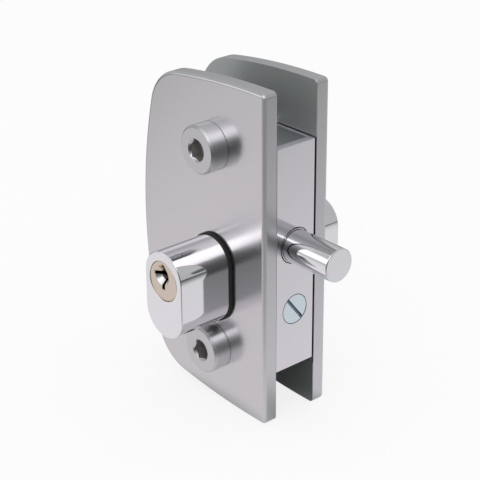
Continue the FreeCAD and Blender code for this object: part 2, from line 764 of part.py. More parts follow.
def plug(name, side):
    """Turned plug with a dished mouth round its keyway, pin chambers, a clip groove and a slotted spigot."""
    body = new_body(name)
    front = cylinder_face - S["plug_sink"]
    fill(body, "y", *facing(side, plug_end, front), circle(plug_x, plug_z, S["plug_dia"] / 2))
    outside = S["plug_dia"] / 2 + S["clip_thick"]
    groove = (circle(plug_x, plug_z, outside), circle(plug_x, plug_z, S["clip_groove_dia"] / 2))
    groove_end = S["cylinder_stop"] - S["seat_gap"] + S["groove_play"]
    cut(body, "y", *facing(side, clip_low - S["groove_play"], groove_end), *groove)
    fill(body, "y", *facing(side, S["spigot_stop"], plug_end), circle(plug_x, plug_z, S["spigot_dia"] / 2))
    wide, half = S["spigot_dia"], S["dog_slot"] / 2
    slot = box(plug_x - wide, plug_x + wide, plug_z - half, plug_z + half)
    cut(body, "y", *facing(side, S["spigot_stop"], S["spigot_stop"] + S["dog_slot_depth"]), slot)
    dish = S["key_dish_dia"] / 2
    spot = circle(plug_x - S["key_dish_shift"], plug_z + S["key_dish_lift"], dish)
    cut(body, "y", *facing(side, front - S["key_dish_depth"], front), spot)
    dress(body, "Chamfer", round_at("y", front * side, dish), S["key_dish_bevel"])
    cut(body, "y", *facing(side, front - S["key_depth"], front), keyway())
    chambers = [circle(plug_x, y * side, S["pin_dia"] / 2 + S["running"]) for y in pin_rows()]
    cut(body, "z", plug_z - S["plug_dia"] / 2, plug_z - S["chamber_end"], *chambers)
    return keep(body)


def plug_clip(name, side):
    """A flat open ring in the plug's groove, behind the cylinder."""
    body = new_body(name)
    low, high = facing(side, clip_low, S["cylinder_stop"] - 0.1)
    inner = S["clip_groove_dia"] / 2 + S["running"]
    fill(body, "y", low, high, circle(plug_x, plug_z, S["clip_dia"] / 2), circle(plug_x, plug_z, inner))
    half = S["clip_mouth"] / 2
    cut(body, "y", low, high, box(plug_x - half, plug_x + half, plug_z - S["clip_dia"], plug_z))
    return keep(body)


def coil(turns, pitch, radius, wire):
    """A round wire wound about Z, starting at the origin's height."""
    helix = Part.makeHelix(pitch, pitch * turns, radius)
    section = Part.Wire(Part.makeCircle(wire / 2, FreeCAD.Vector(radius, 0, 0), FreeCAD.Vector(0, 1, 0)))
    return Part.Wire(helix).makePipeShell([section], True, False)


def spring(name, spots, turns, length, radius, wire):
    """Upright coil springs, one at each (x, y, z) spot."""
    pitch = (length - wire) / turns
    print(f"{name}: least gap between turns {pitch - wire:.2f} mm")
    solids = []
    for spot in spots:
        solid = coil(turns, pitch, radius, wire)
        base = FreeCAD.Vector(spot[0], spot[1], spot[2] + wire / 2)
        solid.Placement = FreeCAD.Placement(base, FreeCAD.Rotation())
        solids.append(solid)
    item = doc.addObject("Part::Feature", name)
    item.Label = name
    item.Shape = solids[0] if len(solids) == 1 else Part.makeCompound(solids)
    return keep(item)


def pin_stacks(side_name, side):
    """Key pins, driver pins, springs and caps under one plug, standing at the shear line."""
    shear = plug_z - S["plug_dia"] / 2
    radius = S["pin_dia"] / 2
    key_foot = shear + S["shear_lift"]
    driver_foot = shear - S["shear_drop"] - S["driver_length"]
    cap_foot = oval_foot + S["slip"]
    cap_top = cap_foot + S["pin_cap_length"]
    keys, drivers, caps = [], [], []
    for index, y in enumerate(pin_rows()):
        length = S["key_pin_length"] + S["key_pin_step"] * (index * 2 % 3)
        barrel = rod(f"{side_name}_key_barrel_{index}", radius, length, plug_x, y * side, key_foot)
        point = doc.addObject("Part::Cone", f"{side_name}_key_point_{index}")
        bind(point, "Radius1", radius)
        bind(point, "Radius2", radius / 3)
        bind(point, "Height", S["key_pin_point"])
        place(point, plug_x, y * side, key_foot + length)
        pin = doc.addObject("Part::Fuse", f"{side_name}_key_pin_{index}")
        pin.Base, pin.Tool = barrel, point
        keys.append(pin)
        driver_name, cap_name = f"{side_name}_driver_{index}", f"{side_name}_cap_{index}"
        drivers.append(rod(driver_name, radius, S["driver_length"], plug_x, y * side, driver_foot))
        foot = cap_foot if (y - radius).value > shoulder.value else cap_foot + S["neck_step"]
        caps.append(rod(cap_name, radius + S["running"] / 2, cap_top - foot, plug_x, y * side, foot))
    group(f"{side_name}_key_pins", keys)
    group(f"{side_name}_driver_pins", drivers)
    group(f"{side_name}_pin_caps", caps)
    spots = [(plug_x.value, (y * side).value, cap_top.value) for y in pin_rows()]
    spring(f"{side_name}_pin_springs", spots, S["pin_spring_turns"].value, driver_foot.value - cap_top.value,
           S["pin_coil_dia"].value / 2, S["pin_wire"].value)


def bridge():
    """The block that ties the two cylinders together and takes the fixing screw."""
    body = new_body("cylinder_bridge")
    half = S["bridge_width"] / 2
    top = plug_z - S["clip_dia"] / 2 - S["bridge_top_gap"]
    block = box(plug_x - half, plug_x + half, oval_foot + S["bridge_foot"], top)
    fill(body, "y", -S["cylinder_stop"], S["cylinder_stop"], block)
    cut(body, "y", -S["cylinder_stop"], S["cylinder_stop"], *bridge_pin_holes())
    tip = face_front - S["fixing_length"]
    thread = circle(0, fixing_z, S["fixing_shank_dia"] / 2 + S["running"] / 2)
    cut(body, "x", tip - S["slip"], plug_x + half, thread)
    return keep(body)


def bridge_pins():
    reach = S["cylinder_stop"] + S["bridge_pin_reach"]
    radius, spread = S["bridge_pin_dia"] / 2, S["bridge_pin_spread"]
    members = []
    for index, way in enumerate((-1, 1), start=1):
        x = plug_x + spread * way
        members.append(rod(f"bridge_pin_{index}", radius, reach * 2, x, reach, bridge_pin_z, (1, 0, 0), 90))
    return group("bridge_pins", members)


def fixing_screw():
    """Wide slotted head, flush in the faceplate, on a shank that reaches the bridge."""
    head, shank = S["fixing_head_dia"] / 2, S["fixing_shank_dia"] / 2
    thick, bevel = S["fixing_head_thick"], S["fixing_bevel"]
    body = turned("fixing_screw", [(0, -S["fixing_length"]), (shank, -S["fixing_length"]), (shank, -thick),
                                   (head, -thick), (head, -bevel), (head - bevel, 0), (0, 0)])
    cut(body, "z", -S["fixing_slot_depth"], 0, slot_across(head, S["fixing_slot"]))
    facing_out = FreeCAD.Rotation(FreeCAD.Vector(0, 1, 0), 90)
    slot_turn = FreeCAD.Rotation(FreeCAD.Vector(0, 0, 1), 38)
    place(body, face_front, 0, fixing_z)
    body.Placement = FreeCAD.Placement(body.Placement.Base, facing_out.multiply(slot_turn))
    return keep(body)


def bolt():
    """The round bolt, a touch slimmer outside the faceplate, with a flat below that clears the hub."""
    body = new_body("bolt")
    step = face_front - S["bolt_step_sink"]
    fill(body, "x", tail_front, step, circle(0, 0, bolt_radius))
    fill(body, "x", step, S["bolt_reach"], circle(0, 0, S["bolt_dia"] / 2))
    dress(body, "Fillet", lies_at("x", S["bolt_reach"]), S["bolt_round"])
    spread, hole = S["tail_screw_spread"], S["tail_screw_dia"] / 2 + S["running"] / 2
    holes = [circle(spread * way, spread, hole) for way in (-1, 1)]
    depth = tail_front - S["tail_wall"] + S["tail_screw_length"] + S["drill_point"]
    cut(body, "x", tail_front, depth, *holes)
    lift = S["cylinder_drop"] - bolt_radius
    chord = (S["hub_dia"] * S["hub_dia"] / 4 - lift * lift).root()
    flat_end = plug_x + S["throw"] + chord + S["bolt_flat_run"]
    cut(body, "x", tail_front, flat_end, box(-bolt_radius, bolt_radius, -bolt_radius, -S["bolt_flat"]))
    return keep(body)


def bolt_tail():
    """The carriage behind the bolt, with the notch that the cam's finger works in."""
    body = new_body("bolt_tail")
    web, flange = S["tail_web"] / 2, case_in - S["seat_gap"]
    fill(body, "y", -web, web, box(tail_back, tail_front, -S["tail_floor"], tail_top))
    fill(body, "y", -flange, flange, box(tail_back, tail_front, S["flange_floor"], tail_top))
    notch = box(notch_x - notch_half, notch_x + notch_half, -S["tail_floor"], notch_roof)
    cut(body, "y", -flange, flange, notch)
    mouth = notch_half + S["mouth_flare"]
    flare = [(notch_x - mouth, -S["tail_floor"]), (notch_x + mouth, -S["tail_floor"]),
             (notch_x, -S["tail_floor"] + mouth)]
    cut(body, "y", -flange, flange, polygon(flare))
    spread, shank = S["tail_screw_spread"], S["tail_screw_dia"] / 2 + S["running"]
    wall_back = tail_front - S["tail_wall"]
    cut(body, "x", wall_back, tail_front, *[circle(spread * way, spread, shank) for way in (-1, 1)])
    seats = [circle(spread * way, spread, S["tail_head_dia"] / 2 + S["running"]) for way in (-1, 1)]
    cut(body, "x", wall_back, wall_back + S["tail_head_thick"] + S["seat_gap"], *seats)
    return keep(body)


def tail_screws():
    head, shank = S["tail_head_dia"] / 2, S["tail_screw_dia"] / 2
    length, thick = S["tail_screw_length"], S["tail_head_thick"]
    x = tail_front - S["tail_wall"] + S["seat_gap"]
    members = []
    for index, way in enumerate((-1, 1), start=1):
        body = turned(f"tail_screw_{index}", [(0, -length), (shank, -length), (shank, -thick),
                                              (head, -thick), (head, 0), (0, 0)])
        cut(body, "z", -thick / 2, 0, slot_across(head, S["small_slot"]))
        members.append(place(body, x, S["tail_screw_spread"] * way, S["tail_screw_spread"], (0, 1, 0), -90))
    return group("tail_screws", members)


def cam():
    """The hub between the plugs, with one finger that stands in the bolt tail's notch."""
    body = new_body("cam")
    outer, bore = S["hub_dia"] / 2, S["spigot_dia"] / 2 + S["running"]
    fill(body, "y", -hub_half, hub_half, circle(plug_x, plug_z, outer), circle(plug_x, plug_z, bore))
    thick, neck = S["finger_thick"] / 2, S["finger_neck"] / 2
    root = (bore + outer) / 2
    corners = []
    for reach, way in ((root, -1), (root, 1), (crank, 1), (crank, -1)):
        corners.append((plug_x + (reach + neck * way) * DIAGONAL, plug_z + (reach - neck * way) * DIAGONAL))
    fill(body, "y", -thick, thick, polygon(corners))
    tip = circle(plug_x + crank * DIAGONAL, plug_z + crank * DIAGONAL, S["finger_radius"])
    fill(body, "y", -thick, thick, tip)
    half = S["dog_slot"] / 2
    groove_end = plug_x + bore + S["dog_tab"] + S["seat_gap"]
    cut(body, "y", -hub_half, hub_half, box(plug_x, groove_end, plug_z - half, plug_z + half))
    return keep(body)


def clutch_dog():
    """The sliding dog in the hub: it stands in the front plug's slot and clear of the rear one."""
    body = new_body("clutch_dog")
    front = -S["spigot_stop"] + S["seat_gap"]
    back = front + S["dog_length"]
    radius, half = S["spigot_dia"] / 2 - S["running"], S["dog_slot"] / 2 - S["running"]
    fill(body, "y", front, back, circle(plug_x, plug_z, radius))
    bar = box(plug_x - radius * 0.8, plug_x + radius * 0.8, plug_z - half, plug_z + half)
    fill(body, "y", front - S["dog_tongue"], front, bar)
    fill(body, "y", back, back + S["dog_tongue"], bar)
    tab = box(plug_x + radius * 0.8, plug_x + radius + S["dog_tab"], plug_z - half, plug_z + half)
    fill(body, "y", front, back, tab)
    return keep(body)


def bolt_guide():
    """The block behind the faceplate that guides the bolt and holds the friction plunger over it."""
    body = new_body("bolt_guide")
    half = case_in - S["seat_gap"]
    fill(body, "x", guide_back, face_back, box(-half, half, guide_foot, guide_top))
    cut(body, "x", guide_back, face_back, circle(0, 0, bolt_radius + S["running"]))
    cut(body, "z", 0, guide_top, circle(guide_x, 0, S["plunger_dia"] / 2 + S["running"]))
    cut(body, "y", -half, half, *[circle(guide_x, z, pin_half + S["running"] / 2) for z in guide_pin_levels])
    return keep(body)


def friction_parts():
    radius = S["plunger_dia"] / 2
    keep(rod("friction_plunger", radius, S["plunger_length"], guide_x, 0, plunger_foot))
    coil_radius = radius - S["friction_wire"] / 2 - S["slip"]
    spring("friction_spring", [(guide_x.value, 0.0, friction_foot.value)], S["friction_turns"].value,
           S["friction_spring_length"].value, coil_radius.value, S["friction_wire"].value)
    screw = turned("friction_screw", [(0, -S["friction_screw_length"]), (radius, -S["friction_screw_length"]),
                                      (radius, 0), (0, 0)])
    cut(screw, "z", -S["friction_slot_depth"], 0, slot_across(radius, S["small_slot"]))
    keep(place(screw, guide_x, 0, friction_top))


def cross_pins():
    thick = S["cross_pin_dia"] / 2
    lugs = [rod(f"faceplate_pin_{index}", thick, case_half * 2, lug_x, case_half, z, (1, 0, 0), 90)
            for index, z in enumerate(lug_spots, start=1)]
    group("faceplate_pins", lugs)
    guides = [rod(f"guide_pin_{index}", pin_half, case_half * 2, guide_x, case_half, z, (1, 0, 0), 90)
              for index, z in enumerate(guide_pin_levels, start=1)]
    group("guide_pins", guides)


def build():
    plate("front_plate", -1, S["clamp_shank_dia"] + S["slip"] * 2)
    plate("rear_plate", 1, S["barrel_dia"] + S["slip"] * 2)
    gasket("front_gasket", -1)
    gasket("rear_gasket", 1)
    for name, make in (("clamp_screw", clamp_screw), ("clamp_nut", clamp_nut)):
        group(f"{name}s", [make(f"{name}_{index}", z) for index, z in enumerate(clamp_levels, start=1)])
    case()
    cover()
    cover_screws()
    faceplate()
    cross_pins()
    for side_name, side in (("front", -1), ("rear", 1)):
        cylinder(f"{side_name}_cylinder", side)
        plug(f"{side_name}_plug", side)
        plug_clip(f"{side_name}_plug_clip", side)
        pin_stacks(side_name, side)
    bridge()
    bridge_pins()
    fixing_screw()
    bolt()
    bolt_tail()
    tail_screws()
    cam()
    clutch_dog()
    bolt_guide()
    friction_parts()


def export():
    doc.recompute()
    for thing in doc.Objects:
        if "Invalid" in thing.State or "Error" in thing.State:
            raise ValueError(f"{thing.Name} failed")
    os.makedirs("parts", exist_ok=True)
    for thing in pieces:
        if thing.Shape.isNull() or not thing.Shape.isValid():
            raise ValueError(f"{thing.Label} has no valid shape")
        thing.Shape.exportStep(f"parts/{thing.Label}.step")
        box_now = thing.Shape.optimalBoundingBox()
        print(f"{thing.Label}: {len(thing.Shape.Solids)} solid(s), {thing.Shape.Volume:.1f} mm3, "
              f"x {box_now.XMin:.2f}..{box_now.XMax:.2f}, y {box_now.YMin:.2f}..{box_now.YMax:.2f}, "
              f"z {box_now.ZMin:.2f}..{box_now.ZMax:.2f}")


build()
export()
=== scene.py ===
"""Looks of a glass door lock: brushed clamp plates, a slim case with its round
bolt, and a polished oval key cylinder on each side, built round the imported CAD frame.

Frame, in metres: the origin is on the bolt's axis, in the plane of the plates'
door edge and midway between the plates. +X is the way the bolt throws,
+Y points to the rear plate, +Z is up.
"""

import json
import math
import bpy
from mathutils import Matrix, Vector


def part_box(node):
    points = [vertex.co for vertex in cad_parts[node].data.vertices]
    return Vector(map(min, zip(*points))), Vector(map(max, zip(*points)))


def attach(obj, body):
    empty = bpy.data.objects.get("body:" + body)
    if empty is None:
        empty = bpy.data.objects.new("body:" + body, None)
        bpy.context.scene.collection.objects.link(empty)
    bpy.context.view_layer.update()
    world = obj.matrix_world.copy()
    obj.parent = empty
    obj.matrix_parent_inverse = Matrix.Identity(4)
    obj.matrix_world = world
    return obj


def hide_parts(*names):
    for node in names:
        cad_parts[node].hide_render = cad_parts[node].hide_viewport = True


bl_info = {
    "name": "Glass Door Lock",
    "version": (1, 0, 0),
    "blender": (4, 5, 0),
    "location": "3D View > Sidebar > Door Lock",
    "description": "Builds the visible pieces and finishes of a clamp-on glass door lock",
    "category": "Add Mesh",
}

import bmesh
import bpy
from bpy.props import FloatProperty, FloatVectorProperty, PointerProperty
from mathutils import Matrix, Vector

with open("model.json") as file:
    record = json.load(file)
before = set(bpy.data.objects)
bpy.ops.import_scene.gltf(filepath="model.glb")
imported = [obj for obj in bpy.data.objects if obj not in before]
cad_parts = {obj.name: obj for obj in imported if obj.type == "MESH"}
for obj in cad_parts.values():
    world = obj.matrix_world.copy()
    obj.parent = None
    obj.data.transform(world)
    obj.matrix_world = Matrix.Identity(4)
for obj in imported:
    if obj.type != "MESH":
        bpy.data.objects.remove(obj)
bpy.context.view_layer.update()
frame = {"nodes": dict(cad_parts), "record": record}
NODES = frame["nodes"]
MM = 0.001


def spans(name):
    """Lowest and highest place of a CAD node along X, Y and Z."""
    return zip(*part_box(name))


def middle(span):
    return (span[0] + span[1]) / 2


def extent(span):
    return span[1] - span[0]


PLATE_X, PLATE_Y, PLATE_Z = spans("rear_plate")
FACE_X, FACE_Y, FACE_Z = spans("faceplate")
SCREWS_X, SCREWS_Y, SCREWS_Z = spans("clamp_screws")
HOUSING_X, HOUSING_Y, HOUSING_Z = spans("rear_cylinder")
GASKET_X, GASKET_Y, GASKET_Z = spans("rear_gasket")
FIXING_X, FIXING_Y, FIXING_Z = spans("fixing_screw")
COVER_X, COVER_Y, COVER_Z = spans("cover_screws")
BOLT_X, _, BOLT_Z = spans("bolt")
CASE_X, _, CASE_Z = spans("case")
_, PLUG_Y, PLUG_Z = spans("rear_plug")
SIDES = {"front": -1, "rear": 1}

# Places and sizes that several pieces and finishes share
HEAD_RADIUS, HEAD_FACE = 7.75 * MM, -SCREWS_Y[0]
SCREW_LINE = middle(SCREWS_X)
SCREW_LEVELS = (SCREWS_Z[0] + HEAD_RADIUS, SCREWS_Z[1] - HEAD_RADIUS)
PLUG_RADIUS, PLUG_FACE = 6.55 * MM, 33.0 * MM
KEY_X, KEY_Z = middle(HOUSING_X), PLUG_Z[1] - PLUG_RADIUS
DISH_X, DISH_Z, DISH_RADIUS = KEY_X - 0.65 * MM, KEY_Z + 1.65 * MM, 3.3 * MM
FIXING_HEAD_DEPTH = 1.9 * MM
CRISP = 0.05 * MM


def length(name, description, millimetres):
    return FloatProperty(name=name, description=description, default=millimetres * MM, unit="LENGTH",
                         subtype="DISTANCE", precision=5)


def turn(name, description, degrees):
    return FloatProperty(name=name, description=description, default=math.radians(degrees),
                         unit="ROTATION", subtype="ANGLE")


def tone(name, description, default):
    return FloatVectorProperty(name=name, description=description, default=default, subtype="COLOR",
                               size=3, min=0.0, max=1.0)


class ClampPlateSizes(bpy.types.PropertyGroup):
    side_bow: length("Side bow radius", "Radius of the plate's long bowed side", 162)
    end_bow: length("End bow radius", "Radius of the plate's slightly bowed top and foot", 246)
    shoulder: length("Shoulder radius", "Radius between the bowed side and the ends", 15.6)
    edge_corner: length("Edge corner radius", "Radius of the two corners at the door edge", 1.5)
    end_flat: length("End flat", "How far the ends run straight from the door edge", 4.1)
    rim_round: length("Rim rounding", "Rounding of the outer face's rim", 1.2)
    inner_break: length("Inner edge break", "Small bevel round the inner face", 0.15)
    recess: length("Recess depth", "Depth of the shallow recess for the case", 0.2)


class ClampHeadSizes(bpy.types.PropertyGroup):
    head_rise: length("Head height", "Height of a clamp head over the plate", 6.2)
    rim_bevel: length("Rim bevel", "Bevel round the head's face", 0.7)
    foot_break: length("Foot break", "Small bevel where the head meets the plate", 0.2)
    socket_flats: length("Socket width", "Width of the hexagon socket across its flats", 6.0)
    socket_depth: length("Socket depth", "Depth of the hexagon socket", 4.0)
    socket_lead: length("Socket lead-in", "Cone round the socket's mouth", 0.75)
    upper_turn: turn("Upper socket turn", "How far the upper head's socket is turned", 11)
    lower_turn: turn("Lower socket turn", "How far the lower head's socket is turned", 47)


class CylinderSizes(bpy.types.PropertyGroup):
    rim_round: length("Face rounding", "Rounding round the housing's face", 0.35)
    neck_step: length("Neck step", "How much slimmer the neck in the plate is", 0.4)
    gasket_round: length("Gasket rounding", "Rounding of the gasket's outer edges", 0.45)
    plug_rim: length("Plug rim bevel", "Bevel round the plug's face", 0.25)
    key_depth: length("Keyway depth", "Depth of the keyway", 25.0)
    key_bevel: length("Keyway bevel", "Bevel round the keyway's mouth", 0.12)


class BoltSizes(bpy.types.PropertyGroup):
    tip_round: length("Tip rounding", "Rounding round the bolt's tip", 0.3)
    nose_radius: length("Nose radius", "Radius of the bolt outside the faceplate", 5.4)
    edge_break: length("Faceplate edge break", "Small rounding of the faceplate's edges", 0.2)
    slot_turn: turn("Screw slot turn", "How far the fixing screw's slot is turned", 38)


class Finishes(bpy.types.PropertyGroup):
    plate: tone("Brushed plate", "Satin stainless of the clamp plates", (0.61, 0.587, 0.61))
    head: tone("Clamp head", "Turned satin stainless of the clamp heads", (0.56, 0.545, 0.56))
    case: tone("Case plating", "Pale satin plating of the case and faceplate", (0.70, 0.675, 0.715))
    chrome: tone("Chrome", "Polished plating of the housings and the bolt", (0.80, 0.785, 0.81))
    brass: tone("Plug", "Satin nickel brass of the plugs", (0.67, 0.57, 0.48))
    zinc: tone("Zinc", "Bright bluish zinc of the screws", (0.66, 0.74, 0.79))
    rubber: tone("Rubber", "Black rubber of the gaskets", (0.014, 0.014, 0.014))


class StudioSettings(bpy.types.PropertyGroup):
    lens: FloatProperty(name="Lens", description="Focal length on a 36 mm sensor", default=109.19,
                        unit="CAMERA", subtype="NONE")
    key_power: FloatProperty(name="Overhead light", description="Power of the large overhead soft light",
                             default=0.85, unit="POWER")
    shadow: FloatProperty(name="Shadow", description="How much of the object's shadow shows on the floor",
                          default=0.18, min=0.0, max=1.0, subtype="FACTOR")


GROUPS = {
    "lock_plates": ClampPlateSizes,
    "lock_heads": ClampHeadSizes,
    "lock_cylinders": CylinderSizes,
    "lock_bolt": BoltSizes,
    "lock_finishes": Finishes,
    "lock_studio": StudioSettings,
}


# Nodes


def node(tree, kind, feeds=None, **settings):
    """Adds a node with its settings; each feed gives an input a value or another node's output."""
    made = tree.nodes.new(kind)
    for label, value in settings.items():
        setattr(made, label, value)
    for label, value in (feeds or {}).items():
        if isinstance(value, bpy.types.NodeSocket):
            tree.links.new(value, made.inputs[label])
        else:
            made.inputs[label].default_value = value
    return made


def maths(tree, operation, *values, clamp=False):
    feeds = dict(enumerate(values))
    return node(tree, "ShaderNodeMath", feeds, operation=operation, use_clamp=clamp).outputs[0]


def product(tree, first, *others):
    for other in others:
        first = maths(tree, "MULTIPLY", first, other)
    return first


def vectors(tree, operation, *values):
    """A sum with vectors, which gives a number for a length or a dot product, else a vector."""
    made = node(tree, "ShaderNodeVectorMath", dict(enumerate(values)), operation=operation)
    return made.outputs["Value" if operation in ("LENGTH", "DOT_PRODUCT") else "Vector"]


def blended(tree, factor, first, second, colours=True, blend="MIX"):
    """Goes from the first colour or number to the second by a factor."""
    kind, one, two, out = ("RGBA", 6, 7, 2) if colours else ("FLOAT", 2, 3, 0)
    feeds = {0: factor, one: first, two: second}
    return node(tree, "ShaderNodeMix", feeds, data_type=kind, blend_type=blend).outputs[out]


def noise(tree, place, scale, detail, roughness):
    feeds = {"Vector": place, "Scale": scale, "Detail": detail, "Roughness": roughness}
    return node(tree, "ShaderNodeTexNoise", feeds).outputs["Fac"]


def new_group(name, inputs, *outputs):
    """An empty shader node group; a triple as its default makes an input a vector."""
    group = bpy.data.node_groups.new(name, "ShaderNodeTree")
    for label, default in inputs.items():
        kind = "NodeSocketVector" if isinstance(default, tuple) else "NodeSocketFloat"
        group.interface.new_socket(label, in_out="INPUT", socket_type=kind).default_value = default
    for label in outputs:
        group.interface.new_socket(label, in_out="OUTPUT", socket_type="NodeSocketFloat")
    return group, node(group, "NodeGroupInput").outputs


# Effects that the finishes share


def brushing():
    """Straight brushing lines: streaks along one axis, fine across it, with a few deeper scratches."""
    inputs = {"Place": (0, 0, 0), "Streaks": (60, 4000, 4000), "Scratches": (14, 900, 900)}
    group, given = new_group("Straight brushing", inputs, "Height", "Tone")
    fine = noise(group, vectors(group, "MULTIPLY", given["Place"], given["Streaks"]), 1.0, 3.0, 0.6)
    wide = noise(group, vectors(group, "MULTIPLY", given["Place"], given["Scratches"]), 1.0, 2.0, 0.5)
    height = maths(group, "MULTIPLY_ADD", maths(group, "POWER", wide, 3.0), 0.8, fine)
    shade = maths(group, "MULTIPLY_ADD", wide, 0.5, maths(group, "MULTIPLY", fine, 0.5))
    node(group, "NodeGroupOutput", {"Height": height, "Tone": shade})
    return group


def turning():
    """Turning marks: fine rings round the Y axis."""
    group, given = new_group("Turning marks", {"Place": (0, 0, 0), "Lines": 5000.0}, "Height")
    radius = vectors(group, "LENGTH", vectors(group, "MULTIPLY", given["Place"], (1, 0, 1)))
    along = node(group, "ShaderNodeSeparateXYZ", {0: given["Place"]}).outputs[1]
    lines = [maths(group, "MULTIPLY", value, given["Lines"]) for value in (radius, along)]
    join = node(group, "ShaderNodeCombineXYZ", dict(enumerate(lines))).outputs[0]
    node(group, "NodeGroupOutput", {"Height": noise(group, join, 1.0, 2.0, 0.6)})
    return group


def handling():
    """Soft patches of handling: a slow mottle with a finer one in it."""
    group, given = new_group("Handling", {"Place": (0, 0, 0), "Patch": 60.0}, "Amount")
    slow = noise(group, given["Place"], given["Patch"], 3.0, 0.55)
    quick = noise(group, given["Place"], maths(group, "MULTIPLY", given["Patch"], 9.0), 4.0, 0.6)
    amount = maths(group, "MULTIPLY_ADD", quick, 0.35, maths(group, "MULTIPLY", slow, 0.65))
    node(group, "NodeGroupOutput", {"Amount": amount})
    return group


def grain():
    """Fine even grain of a plated, blasted or moulded surface."""
    group, given = new_group("Fine grain", {"Place": (0, 0, 0), "Fineness": 4000.0}, "Height")
    node(group, "NodeGroupOutput", {"Height": noise(group, given["Place"], given["Fineness"], 2.0, 0.65)})
    return group


def zone():
    """A mask that is one where a measure is under its edge, with a soft border."""
    group, given = new_group("Zone", {"Measure": 0.0, "Edge": 1.0, "Border": 0.1}, "Mask")
    past = maths(group, "SUBTRACT", given["Edge"], given["Measure"])
    node(group, "NodeGroupOutput", {"Mask": maths(group, "DIVIDE", past, given["Border"], clamp=True)})
    return group


EFFECTS = {}


def effect(tree, maker, **feeds):
    """Places a shared effect in a material, building the effect the first time."""
    if maker not in EFFECTS:
        EFFECTS[maker] = maker()
    return node(tree, "ShaderNodeGroup", feeds, node_tree=EFFECTS[maker]).outputs


class Surface:
    """A material in the making: one Principled shader, fed by the shared effects."""

    def __init__(self, name, colour, roughness, metallic=1.0, specular=0.5, centre=(0, 0, 0)):
        material = bpy.data.materials.new(name)
        material.use_nodes = True
        self.tree = material.node_tree
        self.inputs = self.tree.nodes["Principled BSDF"].inputs
        self.colour, self.roughness = (*colour, 1.0), roughness
        material.diffuse_color, material.metallic, material.roughness = self.colour, metallic, roughness
        start = {"Base Color": self.colour, "Metallic": metallic, "Roughness": roughness,
                 "Specular IOR Level": specular}
        for label, value in start.items():
            self.inputs[label].default_value = value
        self.place = node(self.tree, "ShaderNodeTexCoord").outputs["Object"]
        if any(centre):
            self.place = vectors(self.tree, "SUBTRACT", self.place, centre)

    def feed(self, label, value):
        self.tree.links.new(value, self.inputs[label])

    def folded(self, half):
        """Folds the place about its middle level, so that two like pieces share one axis."""
        parts = node(self.tree, "ShaderNodeSeparateXYZ", {0: self.place}).outputs
        level = maths(self.tree, "SUBTRACT", maths(self.tree, "ABSOLUTE", parts[2]), half)
        self.place = node(self.tree, "ShaderNodeCombineXYZ", {0: parts[0], 1: parts[1], 2: level}).outputs[0]
        return self

    def reach(self, *axes):
        """Distance from the centre, counted along the given axes only."""
        kept = tuple(float(axis in axes) for axis in range(3))
        return vectors(self.tree, "LENGTH", vectors(self.tree, "MULTIPLY", self.place, kept))

    def short_of(self, limit, *axes):
        """How far the reach along the given axes falls short of a limit."""
        return maths(self.tree, "SUBTRACT", limit, self.reach(*axes))

    def zoned(self, zones, tint, roughness, beyond=False, metallic=None):
        """Tints the part of the surface where each measure is under its edge, or beyond it."""
        mask = product(self.tree, *(effect(self.tree, zone, Measure=measure, Edge=edge, Border=border)["Mask"]
                                    for measure, edge, border in zones))
        if beyond:
            mask = maths(self.tree, "SUBTRACT", 1.0, mask)
        for label, aim in (("Base Color", (*tint, 1.0)), ("Roughness", roughness), ("Metallic", metallic)):
            if aim is None:
                continue
            socket, colours = self.inputs[label], label == "Base Color"
            start = socket.links[0].from_socket if socket.is_linked else socket.default_value
            self.feed(label, blended(self.tree, mask, start, aim, colours, "MULTIPLY" if colours else "MIX"))
        return self

    def vary(self, value, colour_shift, roughness_shift):
        """Spreads colour and roughness about their middles by a value that is about a half on average."""
        low, high = ((*(min(part * (1 + shift), 1.0) for part in self.colour[:3]), 1.0)
                     for shift in (-colour_shift, colour_shift))
        self.feed("Base Color", blended(self.tree, value, low, high))
        spread = {"Value": value, "From Min": 0.25, "From Max": 0.75,
                  "To Min": self.roughness * (1 - roughness_shift),
                  "To Max": self.roughness * (1 + roughness_shift)}
        self.feed("Roughness", node(self.tree, "ShaderNodeMapRange", spread).outputs[0])
        return self

    def bump(self, height, strength, depth):
        feeds = {"Strength": strength, "Distance": depth, "Height": height}
        self.feed("Normal", node(self.tree, "ShaderNodeBump", feeds).outputs["Normal"])
        return self

    def mottle(self, patch, colour_shift, roughness_shift):
        """Varies colour and gloss in soft patches."""
        amount = effect(self.tree, handling, Place=self.place, Patch=patch)["Amount"]
        return self.vary(amount, colour_shift, roughness_shift)

    def brushed(self, streaks, scratches, strength, depth, colour_shift, roughness_shift):
        made = effect(self.tree, brushing, Place=self.place, Streaks=streaks, Scratches=scratches)
        return self.bump(made["Height"], strength, depth).vary(made["Tone"], colour_shift, roughness_shift)

    def turned(self, lines, strength, depth):
        return self.bump(effect(self.tree, turning, Place=self.place, Lines=lines)["Height"], strength, depth)

    def grained(self, fineness, strength, depth):
        made = effect(self.tree, grain, Place=self.place, Fineness=fineness)
        return self.bump(made["Height"], strength, depth)


# Finishes


